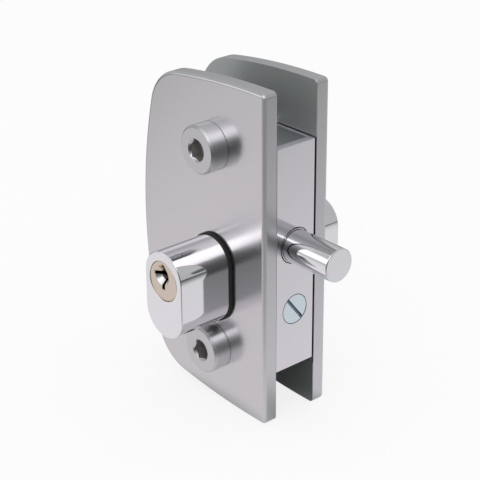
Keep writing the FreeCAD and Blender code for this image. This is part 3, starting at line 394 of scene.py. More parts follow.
def brushed_plate(name, tones):
    """Straight brushing; duller round the rim; painted shade on the duller inner face for the gap between the
    plates, deepest near its foot; a painted highlight on the door edge's rounding.
    """
    inner, outer = PLATE_Y
    made = Surface(name, tones.plate, 0.21, centre=(0, 0, PLATE_Z[0]))
    made.brushed((35, 3500, 3500), (9, 700, 700), 0.20, 0.02 * MM, 0.05, 0.14)
    made.zoned([(made.reach(1), outer - 0.12 * MM, CRISP)], (0.96, 0.98, 0.98), 0.33)
    # Painted shade: the inner face, which is also duller, is darkened for the shade in the gap between the
    # plates
    within = (made.reach(1), inner + 0.12 * MM, CRISP)
    made.zoned([within], (0.71, 0.75, 0.72), 0.36, metallic=0.66)
    # Painted shade: darker still towards the foot of the gap between the plates
    made.zoned([within, (made.reach(2), 34 * MM, 20 * MM)], (0.50, 0.51, 0.51), 0.40)
    # Painted highlight: the rounding at the door edge gets a less metallic copy of the finish, which reads
    # lighter
    door_edge = [(made.reach(0), 1.3 * MM, 0.2 * MM), (made.short_of(outer, 1), 1.2 * MM, 0.2 * MM)]
    made.zoned(door_edge, (1.0, 1.0, 1.0), 0.34, metallic=0.74)


def turned_head(name, tones):
    """Turning marks; a softer side and rim, the side tinted lighter as a painted reflection and the rim
    darker to dim its highlight, and painted shade in the hexagon socket.
    """
    centre = middle(SCREW_LEVELS)
    made = Surface(name, tones.head, 0.20, centre=(SCREW_LINE, 0, centre)).folded(SCREW_LEVELS[1] - centre)
    made.turned(4200, 0.16, 0.01 * MM).mottle(90, 0.04, 0.12)
    drop = made.short_of(HEAD_FACE, 1)
    # Painted reflection: the side beyond the face is rougher and tinted lighter, so that its reflections read
    # lighter
    made.zoned([(drop, 0.75 * MM, CRISP)], (1.28, 1.31, 1.31), 0.36, beyond=True)
    # Painted shade: the hexagon socket's depths are darkened
    socket = [(made.reach(0, 2), 3.62 * MM, CRISP), (made.reach(1), HEAD_FACE - 1.0 * MM, 0.4 * MM)]
    made.zoned(socket, (0.36, 0.34, 0.32), 0.40, metallic=0.4)
    # Painted shade: the rim bevel is tinted darker and rougher to tone down its highlight
    rim = [(drop, 0.72 * MM, CRISP), (made.short_of(0, 0, 2), -7.1 * MM, CRISP)]
    made.zoned(rim, (0.93, 0.93, 0.95), 0.36)


def brass_plug(name, tones):
    """Turning marks; a painted highlight on one wall of the dish, painted shade in its depth and on the
    keyway's walls.
    """
    made = Surface(name, tones.brass, 0.26, centre=(DISH_X, 0, DISH_Z))
    made.turned(5000, 0.22, 0.012 * MM).mottle(150, 0.05, 0.18)
    slope = maths(made.tree, "MAXIMUM", made.short_of(DISH_RADIUS, 0, 2), 0)
    slope = maths(made.tree, "ADD", made.reach(1), slope)
    # Painted highlight: the dish's lower-left wall, which faces the overhead light, is tinted near white
    lit = vectors(made.tree, "DOT_PRODUCT", made.place, (0.5, 0, 0.87))
    wall = [(made.reach(0, 2), DISH_RADIUS, CRISP), (lit, -0.9 * MM, 0.3 * MM)]
    made.zoned(wall, (1.38, 1.56, 1.80), 0.26)
    # Painted shade: the depth of the dish and the keyway's walls are darkened
    for measure, depth, border in ((slope, 0.22 * MM, 0.08 * MM), (made.reach(1), 1.35 * MM, 0.25 * MM)):
        made.zoned([(measure, PLUG_Y[1] - depth, border)], (0.10, 0.10, 0.10), 0.40)


def plating(name, colour, height, roughness, strength, shift):
    """Pale plating centred on a height, with the zone that leaves out the height's two ends."""
    made = Surface(name, colour, roughness, centre=(0, 0, middle(height)))
    made.grained(5200, strength, 0.01 * MM).mottle(70, shift, 0.10)
    return made, [(made.reach(2), extent(height) / 2 - 0.06 * MM, 0.03 * MM)]


def satin_plating(name, tones):
    made, middle_part = plating(name, tones.case, FACE_Z, 0.11, 0.10, 0.03)
    made.zoned(middle_part, (0.85, 0.88, 0.90), 0.5, beyond=True, metallic=0.75)


def folded_sheet(name, tones):
    made, middle_part = plating(name, tones.case, CASE_Z, 0.26, 0.18, 0.05)
    # Painted shade: the case's top and foot ends, deep between the plates, are darkened
    made.zoned(middle_part, (0.60, 0.64, 0.64), 0.42, beyond=True)


def polished_chrome(name, tones):
    Surface(name, tones.chrome, 0.055).grained(260, 0.05, 0.02 * MM).mottle(110, 0.02, 0.35)


def black_rubber(name, tones):
    made = Surface(name, tones.rubber, 0.62, metallic=0.0, specular=0.35)
    made.grained(3000, 0.5, 0.03 * MM).mottle(120, 0.2, 0.15)


def bright_zinc(name, tones, centre=(0, 0, 0)):
    made = Surface(name, tones.zinc, 0.24, centre=centre)
    return made.grained(2600, 0.16, 0.012 * MM).mottle(320, 0.06, 0.2)


def slotted_zinc(name, tones):
    """The zinc of the fixing screw, with painted shade in its slot."""
    made = bright_zinc(name, tones, (FIXING_X[1], 0, 0))
    # Painted shade: all that lies more than 0.3 mm back from the head's face, which in view is the slot, is
    # darkened
    made.zoned([(made.reach(0), 0.3 * MM, 0.08 * MM)], (0.34, 0.38, 0.42), 0.4, beyond=True)


def machined_steel(name, tones):
    Surface(name, (0.42, 0.41, 0.40), 0.34).brushed(
        (150, 2600, 2600), (60, 800, 800), 0.3, 0.02 * MM, 0.08, 0.2)


def plain_brass(name, tones):
    Surface(name, (0.70, 0.53, 0.24), 0.30).grained(2400, 0.2, 0.015 * MM).mottle(200, 0.08, 0.2)


def spring_wire(name, tones):
    Surface(name, (0.50, 0.50, 0.51), 0.28).grained(3800, 0.2, 0.01 * MM).mottle(300, 0.06, 0.2)


FINISHES = {
    "Brushed plate": brushed_plate, "Turned head": turned_head, "Nickel brass plug": brass_plug,
    "Satin plating": satin_plating, "Folded sheet": folded_sheet, "Polished chrome": polished_chrome,
    "Black rubber": black_rubber, "Bright zinc": bright_zinc, "Slotted zinc": slotted_zinc,
    "Machined steel": machined_steel, "Plain brass": plain_brass, "Spring wire": spring_wire,
}


def finish_for(name):
    """The named finish, made the first time that it is asked for."""
    if name not in bpy.data.materials:
        FINISHES[name](name, bpy.context.scene.lock_finishes)
    return bpy.data.materials[name]


# Outlines in (X, Z): points, each with its outward direction


def arc_run(centre, radius, start, end, steps):
    """An arc whose last point is left to the next run."""
    angles = (start + (end - start) * index / steps for index in range(steps))
    ways = [Vector((math.cos(angle), math.sin(angle))) for angle in angles]
    return [(centre + way * radius, way) for way in ways]


def meeting(centre_a, radius_a, centre_b, radius_b):
    """The upper meeting point of two circles."""
    way = centre_b - centre_a
    apart = way.length
    along = (radius_a ** 2 - radius_b ** 2 + apart ** 2) / (2 * apart)
    rise = math.sqrt(radius_a ** 2 - along ** 2)
    unit = way / apart
    side = Vector((-unit.y, unit.x))
    return max((centre_a + unit * along + side * rise * sign for sign in (1, -1)), key=lambda p: p.y)


CORNER_STEPS, BOW_STEPS, SIDE_STEPS = 12, 28, 32


def plate_rim(sizes):
    """The plate's outline: straight door edge, flat ends that ease into long arcs, a bowed side."""
    half, width, right = extent(PLATE_Z) / 2, -PLATE_X[0], math.pi / 2
    corner, shoulder = sizes.edge_corner, sizes.shoulder
    side_centre = Vector((sizes.side_bow - width, 0))
    end_centre = Vector((-sizes.end_flat, half - sizes.end_bow))
    centre = meeting(side_centre, sizes.side_bow - shoulder, end_centre, sizes.end_bow - shoulder)
    end_turn, side_turn = (math.atan2(way.y, way.x) for way in (centre - end_centre, centre - side_centre))
    upper = arc_run(Vector((-corner, half - corner)), corner, 0, right, CORNER_STEPS)
    upper.append((Vector((-corner, half)), Vector((0, 1))))
    upper += arc_run(end_centre, sizes.end_bow, right, end_turn, BOW_STEPS)
    upper += arc_run(centre, shoulder, end_turn, side_turn, BOW_STEPS)
    upper += arc_run(side_centre, sizes.side_bow, side_turn, math.pi, SIDE_STEPS)
    lower = [(Vector((p.x, -p.y)), Vector((out.x, -out.y))) for p, out in reversed(upper)]
    rim = upper + [(Vector((-width, 0)), Vector((-1, 0)))] + lower
    return [(point + Vector((0, middle(PLATE_Z))), outward) for point, outward in rim]


def oval_rim(across, upright, inset=0.0, steps=40):
    """An upright oval with straight sides, within two spans less an inset, on the key's line."""
    radius = extent(across) / 2 - inset
    top, foot = Vector((KEY_X, upright[1] - inset - radius)), Vector((KEY_X, upright[0] + inset + radius))
    run = arc_run(top, radius, 0, math.pi, steps)
    run.append((top - Vector((radius, 0)), Vector((-1, 0))))
    run += arc_run(foot, radius, math.pi, 2 * math.pi, steps)
    run.append((foot + Vector((radius, 0)), Vector((1, 0))))
    return run


def round_rim(centre, radius, steps=96):
    return arc_run(Vector(centre), radius, 0, 2 * math.pi, steps)


# Mesh building


def ring_at(rim, inset, y):
    """The outline drawn in by an inset, at a height along Y."""
    return [Vector((point.x - out.x * inset, y, point.y - out.y * inset)) for point, out in rim]


def rings_at(rim, *places):
    """The outline's rings at (inset, y) pairs."""
    return [ring_at(rim, inset, y) for inset, y in places]


def quarter(radius, steps):
    """(inset, drop) pairs along a rounded edge, from the side to the face."""
    return [(radius * (1 - math.cos(a)), radius * (1 - math.sin(a)))
            for a in (math.pi / 2 * i / steps for i in range(steps + 1))]


def rounded(rim, radius, face, way=1, steps=6):
    """The outline's rings along a rounded edge, up to a face that looks one way along Y."""
    return [ring_at(rim, inset, face - drop * way) for inset, drop in quarter(radius, steps)]


def following(ring):
    """A ring's items, with each one's neighbour in its place."""
    return ring[1:] + ring[:1]


def skin(mesh, rings, smooth=True):
    """Walls between rings of the same count."""
    loops = [[mesh.verts.new(point) for point in ring] for ring in rings]
    for low, high in zip(loops, loops[1:]):
        for corners in zip(low, following(low), following(high), high):
            mesh.faces.new(corners).smooth = smooth
    return loops


def cap(mesh, *loops):
    """A flat face between one outer loop and any number of holes."""
    pairs = [pair for loop in loops for pair in zip(loop, following(loop))]
    edges = [mesh.edges.get(pair) or mesh.edges.new(pair) for pair in pairs]
    made = bmesh.ops.triangle_fill(mesh, use_beauty=True, edges=edges)
    for item in made["geom"]:
        if isinstance(item, bmesh.types.BMFace):
            item.smooth = False


def shell(edge, *holes):
    """A solid between its outer wall and its holes' walls, each given as rings, closed flat at both ends."""
    mesh = bmesh.new()
    walls = [skin(mesh, rings) for rings in (edge, *holes)]
    for end in (0, -1):
        cap(mesh, *(wall[end] for wall in walls))
    return mesh


def spun(mesh, profile, steps):
    """A wall turned about Y from (radius, y) pairs; a radius of nothing closes it with a point."""
    angles = [2 * math.pi * index / steps for index in range(steps)]
    rings = []
    for radius, y in profile:
        rings.append([mesh.verts.new((radius * math.cos(angle), y, radius * math.sin(angle)))
                      for angle in (angles if radius else angles[:1])])
    for low, high in zip(rings, rings[1:]):
        for here in range(steps):
            after = (here + 1) % steps
            corners = [ring[index % len(ring)]
                       for ring, index in ((low, here), (low, after), (high, after), (high, here))]
            mesh.faces.new(list(dict.fromkeys(corners))).smooth = True
    return rings


def flatten(mesh, limit):
    """Shades the faces flat whose normal points along Y by a limit or more."""
    for face in mesh.faces:
        face.normal_update()
        face.smooth = abs(face.normal.y) < limit


def block(mesh, low, high, bevel=0.0):
    """A box with softly broken edges."""
    verts = bmesh.ops.create_cube(mesh, size=1.0)["verts"]
    bmesh.ops.scale(mesh, vec=[b - a for a, b in zip(low, high)], verts=verts)
    bmesh.ops.translate(mesh, vec=[(a + b) / 2 for a, b in zip(low, high)], verts=verts)
    if bevel:
        edges = {edge for vert in verts for edge in vert.link_edges}
        bmesh.ops.bevel(mesh, geom=list(edges), offset=bevel, segments=3, profile=0.5,
                        affect="EDGES", clamp_overlap=True)


def moved(mesh, matrix):
    bmesh.ops.transform(mesh, matrix=matrix, verts=mesh.verts)


def facing(way, place=(0, 0, 0)):
    """Turns what is built towards +Y over to its own side, and sets it at its place."""
    return Matrix.Translation(place) @ Matrix.Diagonal((1, way, 1, 1))


MERGED = 1e-7
SMOOTH_ANGLE = math.radians(32)
FLAT, SMOOTH = math.cos(math.radians(0.3)), math.cos(SMOOTH_ANGLE)


def to_object(name, mesh, finish=None):
    """Turns a bmesh into an object at the origin with its faces outwards."""
    bmesh.ops.remove_doubles(mesh, verts=mesh.verts, dist=MERGED)
    bmesh.ops.recalc_face_normals(mesh, faces=mesh.faces)
    data = bpy.data.meshes.new(name)
    mesh.to_mesh(data)
    mesh.free()
    data.set_sharp_from_angle(angle=SMOOTH_ANGLE)
    made = bpy.data.objects.new(name, data)
    bpy.context.scene.collection.objects.link(made)
    if finish:
        data.materials.append(finish_for(finish))
    return made


def freeze(target):
    """Replaces an object's mesh with its evaluated one and drops its modifiers."""
    bpy.context.view_layer.update()
    evaluated = target.evaluated_get(bpy.context.evaluated_depsgraph_get())
    data = bpy.data.meshes.new_from_object(evaluated)
    old = target.data
    target.modifiers.clear()
    target.data = data
    bpy.data.meshes.remove(old)
    data.name = target.name


def carve(target, name, build):
    """Cuts a closed shape out of an object, once and for all."""
    tool_mesh = bmesh.new()
    build(tool_mesh)
    tool = to_object(name, tool_mesh)
    cutter = target.modifiers.new("Cut", "BOOLEAN")
    cutter.operation, cutter.solver, cutter.object = "DIFFERENCE", "EXACT", tool
    freeze(target)
    bpy.data.objects.remove(tool)


def flat_areas(mesh):
    """For each face, the area of the whole flat patch that it is part of."""
    areas = {}
    for start in mesh.faces:
        if start in areas:
            continue
        patch, waiting = {start}, [start]
        while waiting:
            for edge in waiting.pop().edges:
                for other in edge.link_faces:
                    if other not in patch and other.normal.dot(start.normal) > FLAT:
                        patch.add(other)
                        waiting.append(other)
        total = sum(face.calc_area() for face in patch)
        areas.update(dict.fromkeys(patch, total))
    return areas


def even_light(piece):
    """Gives flat faces one normal each, to which the rounded edges beside them bend."""
    mesh = bmesh.new()
    mesh.from_mesh(piece.data)
    mesh.normal_update()
    areas = flat_areas(mesh)
    normals = []
    for face in mesh.faces:
        for loop in face.loops:
            near = [other for other in loop.vert.link_faces if other.normal.dot(face.normal) > SMOOTH]
            normals.append(sum((other.normal * areas[other] for other in near), Vector()).normalized())
    mesh.free()
    piece.data.normals_split_custom_set(normals)


def hand_over(piece, body, slot, *nodes):
    """Evens the light on a finished piece and lets it ride on its body in place of its CAD nodes."""
    even_light(piece)
    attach(piece, body)
    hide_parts(*nodes)


# Geometry Nodes for pieces that repeat


def new_tree(name, *numbers, **others):
    """An empty tree that takes the modelled piece, numbers and a finish, and gives pieces."""
    tree = bpy.data.node_groups.new(name, "GeometryNodeTree")
    kinds = {"Piece": "Geometry", **dict.fromkeys(numbers, "Float"), **others, "Finish": "Material"}
    for label, kind in kinds.items():
        tree.interface.new_socket(label, in_out="INPUT", socket_type=f"NodeSocket{kind}")
    tree.interface.new_socket("Pieces", in_out="OUTPUT", socket_type="NodeSocketGeometry")
    return tree, node(tree, "NodeGroupInput").outputs


def point_of(tree, given, *labels):
    """The place whose X, Y and Z are three of the tree's inputs."""
    feeds = {index: given[label] for index, label in enumerate(labels)}
    return node(tree, "ShaderNodeCombineXYZ", feeds).outputs[0]


def set_out(tree, given, points, spin):
    """Sets the piece on points with a turn about Y; the tree ends in real geometry with its finish."""
    turns = node(tree, "ShaderNodeCombineXYZ", {1: spin}).outputs[0]
    feeds = {"Points": points, "Instance": given["Piece"], "Rotation": turns}
    places = node(tree, "GeometryNodeInstanceOnPoints", feeds).outputs[0]
    real = node(tree, "GeometryNodeRealizeInstances", {0: places}).outputs[0]
    paint = node(tree, "GeometryNodeSetMaterial", {"Geometry": real, "Material": given["Finish"]})
    node(tree, "NodeGroupOutput", {0: paint.outputs[0]})
    return tree


def pair_tree():
    """Sets the modelled piece at two levels on a line, each with its own turn about Y."""
    tree, given = new_tree("Pair on a line", "Line", "Face", "Lower level", "Upper level", "Lower turn",
                           "Upper turn")
    ends = {"Count": 2, "Start Location": point_of(tree, given, "Line", "Face", "Lower level"),
            "Offset": point_of(tree, given, "Line", "Face", "Upper level")}
    line = node(tree, "GeometryNodeMeshLine", ends, mode="END_POINTS", count_mode="TOTAL")
    index = node(tree, "GeometryNodeInputIndex").outputs[0]
    upper = node(tree, "FunctionNodeCompare", {2: index}, data_type="INT", operation="GREATER_THAN")
    turns = {"Switch": upper.outputs[0], "False": given["Lower turn"], "True": given["Upper turn"]}
    spin = node(tree, "GeometryNodeSwitch", turns, input_type="FLOAT").outputs[0]
    return set_out(tree, given, line.outputs[0], spin)


def corners_tree():
    """Sets the modelled piece at the four corners of a rectangle in (X, Z), each turned by chance."""
    tree, given = new_tree("Four corners", "Wide", "High", "Middle X", "Face", "Middle Z", Seed="Int")
    sizes = {"Vertices X": 2, "Vertices Y": 2, "Size X": given["Wide"], "Size Y": given["High"]}
    grid = node(tree, "GeometryNodeMeshGrid", sizes).outputs[0]
    stand = node(tree, "GeometryNodeTransform", {
        "Geometry": grid, "Rotation": (math.radians(90), 0, 0),
        "Translation": point_of(tree, given, "Middle X", "Face", "Middle Z")})
    chance = node(tree, "FunctionNodeRandomValue", {3: math.pi, "Seed": given["Seed"]}, data_type="FLOAT")
    return set_out(tree, given, stand.outputs[0], chance.outputs[1])


def grow(piece, tree, values):
    """Runs a Geometry Nodes tree on a piece with the named values and keeps the plain mesh."""
    maker = piece.modifiers.new(tree.name, "NODES")
    maker.node_group = tree
    named = {item.name: item.identifier for item in tree.interface.items_tree if item.in_out == "INPUT"}
    for label, value in values.items():
        maker[named[label]] = value
    freeze(piece)


# Clamp plates

HOUSING_HOLE_INSET = 0.25 * MM
SCREW_HOLES = {"front": 3.15 * MM, "rear": 4.15 * MM}
RECESS_MARGIN, RECESS_RISE, RECESS_FRONT = 0.8 * MM, 4.8 * MM, 2 * MM


class LOCK_OT_clamp_plates(bpy.types.Operator):
    """Builds both brushed clamp plates with their rounded outer rims, holes and inner recess."""
    bl_idname = "lock.clamp_plates"
    bl_label = "Clamp plates"

    def execute(self, context):
        sizes = context.scene.lock_plates
        rim, rim_break = plate_rim(sizes), sizes.inner_break
        for side, way in SIDES.items():
            inner, outer = PLATE_Y[0] * way, PLATE_Y[1] * way
            edge = rings_at(rim, (rim_break, inner), (0, inner + rim_break * way))
            edge += rounded(rim, sizes.rim_round, outer, way, steps=8)
            holes = [oval_rim(HOUSING_X, HOUSING_Z, HOUSING_HOLE_INSET)]
            holes += [round_rim((SCREW_LINE, level), SCREW_HOLES[side], steps=48) for level in SCREW_LEVELS]
            mesh = shell(edge, *(rings_at(hole, (0, inner), (0, outer)) for hole in holes))
            plate = to_object(f"{side}_clamp_plate", mesh, "Brushed plate")
            near, far = sorted((inner - RECESS_MARGIN * way, inner + sizes.recess * way))
            low = (CASE_X[0] - RECESS_MARGIN, near, SCREW_LEVELS[0] - RECESS_RISE)
            high = (RECESS_FRONT, far, SCREW_LEVELS[1] + RECESS_RISE)
            carve(plate, "Recess cutter", lambda tool: block(tool, low, high))
            hand_over(plate, "lock_body", "satin_plate", f"{side}_plate")
        return {"FINISHED"}


# Gaskets

NECK_CLEARANCE, INNER_SHARE = 0.05 * MM, 0.5


class LOCK_OT_gaskets(bpy.types.Operator):
    """Builds the black rubber gaskets between the plates and the key cylinders."""
    bl_idname = "lock.gaskets"
    bl_label = "Gaskets"

    def execute(self, context):
        sizes = context.scene.lock_cylinders
        rim, soft = oval_rim(GASKET_X, GASKET_Z), sizes.gasket_round
        hole = oval_rim(HOUSING_X, HOUSING_Z, sizes.neck_step - NECK_CLEARANCE)
        for side, way in SIDES.items():
            inner, outer = GASKET_Y[0] * way, GASKET_Y[1] * way
            edge = [ring_at(rim, inset, inner + drop * way * INNER_SHARE)
                    for inset, drop in reversed(quarter(soft, steps=6))]
            edge += rounded(rim, soft, outer, way)
            mesh = shell(edge, rings_at(hole, (0, inner), (0, outer)))
            gasket = to_object(f"{side}_gasket_ring", mesh, "Black rubber")
            hand_over(gasket, "lock_body", "black_rubber", f"{side}_gasket")
        return {"FINISHED"}


# Clamp heads

SCREW_RADIUS, BARREL_RADIUS, BARREL_BORE = 3 * MM, 4 * MM, 3.05 * MM
SCREW_END, SCREW_TIP_BREAK, BARREL_END, BARREL_FLOOR = -24 * MM, 0.3 * MM, -13 * MM, -2 * MM
RIM_SOFTNESS, SOFT_SHARE, SOCKET_POINT = 0.15 * MM, 0.3, 0.4 * MM
SHANKS = {
    "front": [(0, SCREW_END), (SCREW_RADIUS - SCREW_TIP_BREAK, SCREW_END),
              (SCREW_RADIUS, SCREW_END + SCREW_TIP_BREAK), (SCREW_RADIUS, 0)],
    "rear": [(0, BARREL_FLOOR), (BARREL_BORE, BARREL_FLOOR), (BARREL_BORE, BARREL_END),
             (BARREL_RADIUS, BARREL_END), (BARREL_RADIUS, 0)],
}


def hexagon(flats, steps=6):
    """A hexagon's outline in (X, Z), each side divided."""
    corners = [Vector((math.cos(a), math.sin(a))) * flats / math.sqrt(3)
               for a in (math.pi / 3 * i for i in range(6))]
    return [here.lerp(after, step / steps) for here, after in zip(corners, following(corners))
            for step in range(steps)]


def head_template(sizes, shank):
    """One clamp head, its face towards +Y over the plate at nothing, on the given shank profile."""
    mesh = bmesh.new()
    rise, bevel, foot = sizes.head_rise, sizes.rim_bevel, sizes.foot_break
    soft, little, radius = RIM_SOFTNESS, RIM_SOFTNESS * SOFT_SHARE, HEAD_RADIUS
    shoulder = [(radius - foot, 0), (radius, foot), (radius, rise - bevel - soft),
                (radius - little, rise - bevel + little), (radius - bevel + little, rise - little),
                (radius - bevel - soft, rise)]
    rings = spun(mesh, shank + shoulder, steps=96)
    floor, outer = rise - sizes.socket_depth, sizes.socket_flats / 2 + sizes.socket_lead
    flats = [Vector((p.x, 0, p.y)) for p in hexagon(sizes.socket_flats)]
    mouth = [p.normalized() * outer + Vector((0, rise, 0)) for p in flats]
    brim = [p + Vector((0, rise - max(outer - p.length, 0), 0)) for p in flats]
    cone = skin(mesh, [mouth, brim], smooth=False)
    wall = skin(mesh, [brim, [p + Vector((0, floor, 0)) for p in flats]], smooth=False)[-1]
    cap(mesh, rings[-1], cone[0])
    centre = mesh.verts.new((0, floor - SOCKET_POINT, 0))
    for here, after in zip(wall, following(wall)):
        mesh.faces.new((here, after, centre)).smooth = False
    return mesh


class LOCK_OT_clamp_heads(bpy.types.Operator):
    """Builds the clamp screws and their nuts: bevelled heads with hexagon sockets, two on each plate."""
    bl_idname = "lock.clamp_heads"
    bl_label = "Clamp screws and nuts"

    def execute(self, context):
        sizes = context.scene.lock_heads
        tree = pair_tree()
        nodes = {"front": "clamp_screws", "rear": "clamp_nuts"}
        for side, way in SIDES.items():
            mesh = head_template(sizes, SHANKS[side])
            moved(mesh, facing(way))
            heads = to_object(f"{side}_clamp_heads", mesh)
            grow(heads, tree, {
                "Line": SCREW_LINE, "Face": PLATE_Y[1] * way,
                "Lower level": SCREW_LEVELS[0], "Upper level": SCREW_LEVELS[1],
                "Lower turn": sizes.lower_turn, "Upper turn": sizes.upper_turn,
                "Finish": finish_for("Turned head"),
            })
            hand_over(heads, "lock_body", "clamp_head", nodes[side])
        return {"FINISHED"}


# Key cylinders

# The five pin rows, counted back from the housing's face in millimetres
FACE_LEVEL, FIRST_ROW, ROW_PITCH, ROW_RADIUS = 33.15, 5.2, 3.7, 1.45 * MM
PIN_ROWS = [(FACE_LEVEL - FIRST_ROW - ROW_PITCH * index) * MM for index in range(5)]
BORE_CLEARANCE, BORE_LIP, SHOULDER_BREAK = 0.05 * MM, 0.10 * MM, 0.08 * MM


def pin_chambers(mesh, way, low, high, steps=40):
    """Five upright round bars, one for each pin stack."""
    for row in PIN_ROWS:
        ring = [(KEY_X + ROW_RADIUS * math.cos(a), row * way + ROW_RADIUS * math.sin(a))
                for a in (2 * math.pi * index / steps for index in range(steps))]
        for loop in skin(mesh, [[Vector((*point, level)) for point in ring] for level in (low, high)]):
            mesh.faces.new(loop).smooth = False


class LOCK_OT_key_cylinders(bpy.types.Operator):
    """Builds the polished oval housings with their bores and pin chambers."""
    bl_idname = "lock.key_cylinders"
    bl_label = "Key cylinders"

    def execute(self, context):
        sizes = context.scene.lock_cylinders
        rim = oval_rim(HOUSING_X, HOUSING_Z, steps=56)
        bore = round_rim((KEY_X, KEY_Z), PLUG_RADIUS + BORE_CLEARANCE)
        for side, way in SIDES.items():
            stop, shoulder, face = (y * way for y in (HOUSING_Y[0], GASKET_Y[1], HOUSING_Y[1]))
            edge = rings_at(rim, (sizes.neck_step, stop), (sizes.neck_step, shoulder),
                            (SHOULDER_BREAK, shoulder), (0, shoulder + SHOULDER_BREAK * way))
            edge += rounded(rim, sizes.rim_round, face, way)
            mesh = shell(edge, rings_at(bore, (0, stop), (0, face - BORE_LIP * way), (-BORE_LIP, face)))
            housing = to_object(f"{side}_housing", mesh, "Polished chrome")
            carve(housing, "Chamber cutter", lambda tool: pin_chambers(tool, way, HOUSING_Z[0] - MM, KEY_Z))
            hand_over(housing, "lock_body", "chrome", f"{side}_cylinder")
        return {"FINISHED"}


# Plugs

# The keyway's corners, in millimetres from the plug's axis
KEYWAY = [(-0.9, 5.4), (0.3, 5.4), (1.9, 3.6), (1.9, 2.0), (0.55, -0.2), (0.55, -2.9), (-0.75, -2.9),
          (-0.75, 0.0), (0.05, 1.15), (-4.2, 1.15), (-4.2, 2.3), (0.4, 2.3), (0.4, 3.5)]
SPIGOT_TIP, SPIGOT_END, SPIGOT_RADIUS, SPIGOT_BREAK = 2.5 * MM, 5.1 * MM, 4 * MM, 0.15 * MM
GROOVE_RADIUS, GROOVE_START, GROOVE_END = 5.8 * MM, 5.17 * MM, 5.93 * MM
DISH_FLOOR, DISH_FLOOR_RADIUS, DISH_STEP = PLUG_FACE - 1.9 * MM, 1.5 * MM, 0.1 * MM
SLOT_HALF, SLOT_DEPTH, SLOT_REACH, CHAMBER_TOP = 1.05 * MM, 1.9 * MM, 8 * MM, KEY_Z - 1.6 * MM


def plug_profile(rim):
    """The plug's (radius, y) pairs: slotted spigot, clip groove, body and bevelled face."""
    radius = PLUG_RADIUS
    return [(0, SPIGOT_TIP), (SPIGOT_RADIUS - SPIGOT_BREAK, SPIGOT_TIP),
            (SPIGOT_RADIUS, SPIGOT_TIP + SPIGOT_BREAK), (SPIGOT_RADIUS, SPIGOT_END), (radius, SPIGOT_END),
            (radius, GROOVE_START), (GROOVE_RADIUS, GROOVE_START), (GROOVE_RADIUS, GROOVE_END),
            (radius, GROOVE_END), (radius, PLUG_FACE - rim), (radius - rim, PLUG_FACE), (0, PLUG_FACE)]


def cut_dish(tool, way):
    """The cone of the dish round the keyway."""
    spun(tool, [(0, DISH_FLOOR), (DISH_FLOOR_RADIUS, DISH_FLOOR), (DISH_FLOOR_RADIUS, DISH_FLOOR + DISH_STEP),
                (DISH_RADIUS, PLUG_FACE), (DISH_RADIUS, PLUG_FACE + MM), (0, PLUG_FACE + MM)], steps=96)
    moved(tool, facing(way, (DISH_X, 0, DISH_Z)))


def grown(outline, distance):
    """A polygon with each of its sides moved outwards by a distance."""
    points = [Vector(point) for point in outline]
    sides = list(zip(points, following(points)))
    way = math.copysign(1, sum(a.x * b.y - a.y * b.x for a, b in sides))
    alongs = [(after - here).normalized() for here, after in sides]
    outward = [Vector((along.y, -along.x)) * way for along in alongs]
    moves = [(outward[index - 1], outward[index]) for index in range(len(points))]
    return [point + (first + second) * distance / (1 + first.dot(second))
            for point, (first, second) in zip(points, moves)]


def cut_keyway(tool, way, sizes):
    """The keyway, with a small bevel round its mouth."""
    face, bevel = PLUG_FACE, sizes.key_bevel
    levels = ((face - sizes.key_depth, 0), (face - bevel, 0), (face, bevel), (face + MM, bevel))
    rings = [[Vector((KEY_X + u * MM, y * way, KEY_Z + v * MM)) for u, v in grown(KEYWAY, out / MM)]
             for y, out in levels]
    loops = skin(tool, rings, smooth=False)
    for loop in (loops[0], loops[-1]):
        tool.faces.new(loop).smooth = False


def cut_chambers(tool, way):
    """The pin chambers and the slot across the spigot."""
    pin_chambers(tool, way, KEY_Z - PLUG_RADIUS - MM, CHAMBER_TOP)
    low, high = sorted(((SPIGOT_TIP - MM) * way, (SPIGOT_TIP + SLOT_DEPTH) * way))
    block(tool, (KEY_X - SLOT_REACH, low, KEY_Z - SLOT_HALF), (KEY_X + SLOT_REACH, high, KEY_Z + SLOT_HALF))


class LOCK_OT_plugs(bpy.types.Operator):
    """Builds the turned plugs with their keyways, pin chambers, clip grooves and slotted spigots."""
    bl_idname = "lock.plugs"
    bl_label = "Plugs"

    def execute(self, context):
        sizes = context.scene.lock_cylinders
        for side, way in SIDES.items():
            mesh = bmesh.new()
            spun(mesh, plug_profile(sizes.plug_rim), steps=112)
            moved(mesh, facing(way, (KEY_X, 0, KEY_Z)))
            plug = to_object(f"{side}_turned_plug", mesh, "Nickel brass plug")
            carve(plug, "Dish cutter", lambda tool: cut_dish(tool, way))
            carve(plug, "Keyway cutter", lambda tool: cut_keyway(tool, way, sizes))
            carve(plug, "Chamber cutter", lambda tool: cut_chambers(tool, way))
            hand_over(plug, f"{side}_plug_set", "plug_brass", f"{side}_plug")
        return {"FINISHED"}


# Bolt

BOLT_STEP, BOLT_END_BREAK = -0.4 * MM, 0.2 * MM
FLAT_END, FLAT_LEVEL = -0.99 * MM, -3.9 * MM
SWAP = Matrix(((0, 1, 0, 0), (1, 0, 0, 0), (0, 0, 1, 0), (0, 0, 0, 1)))


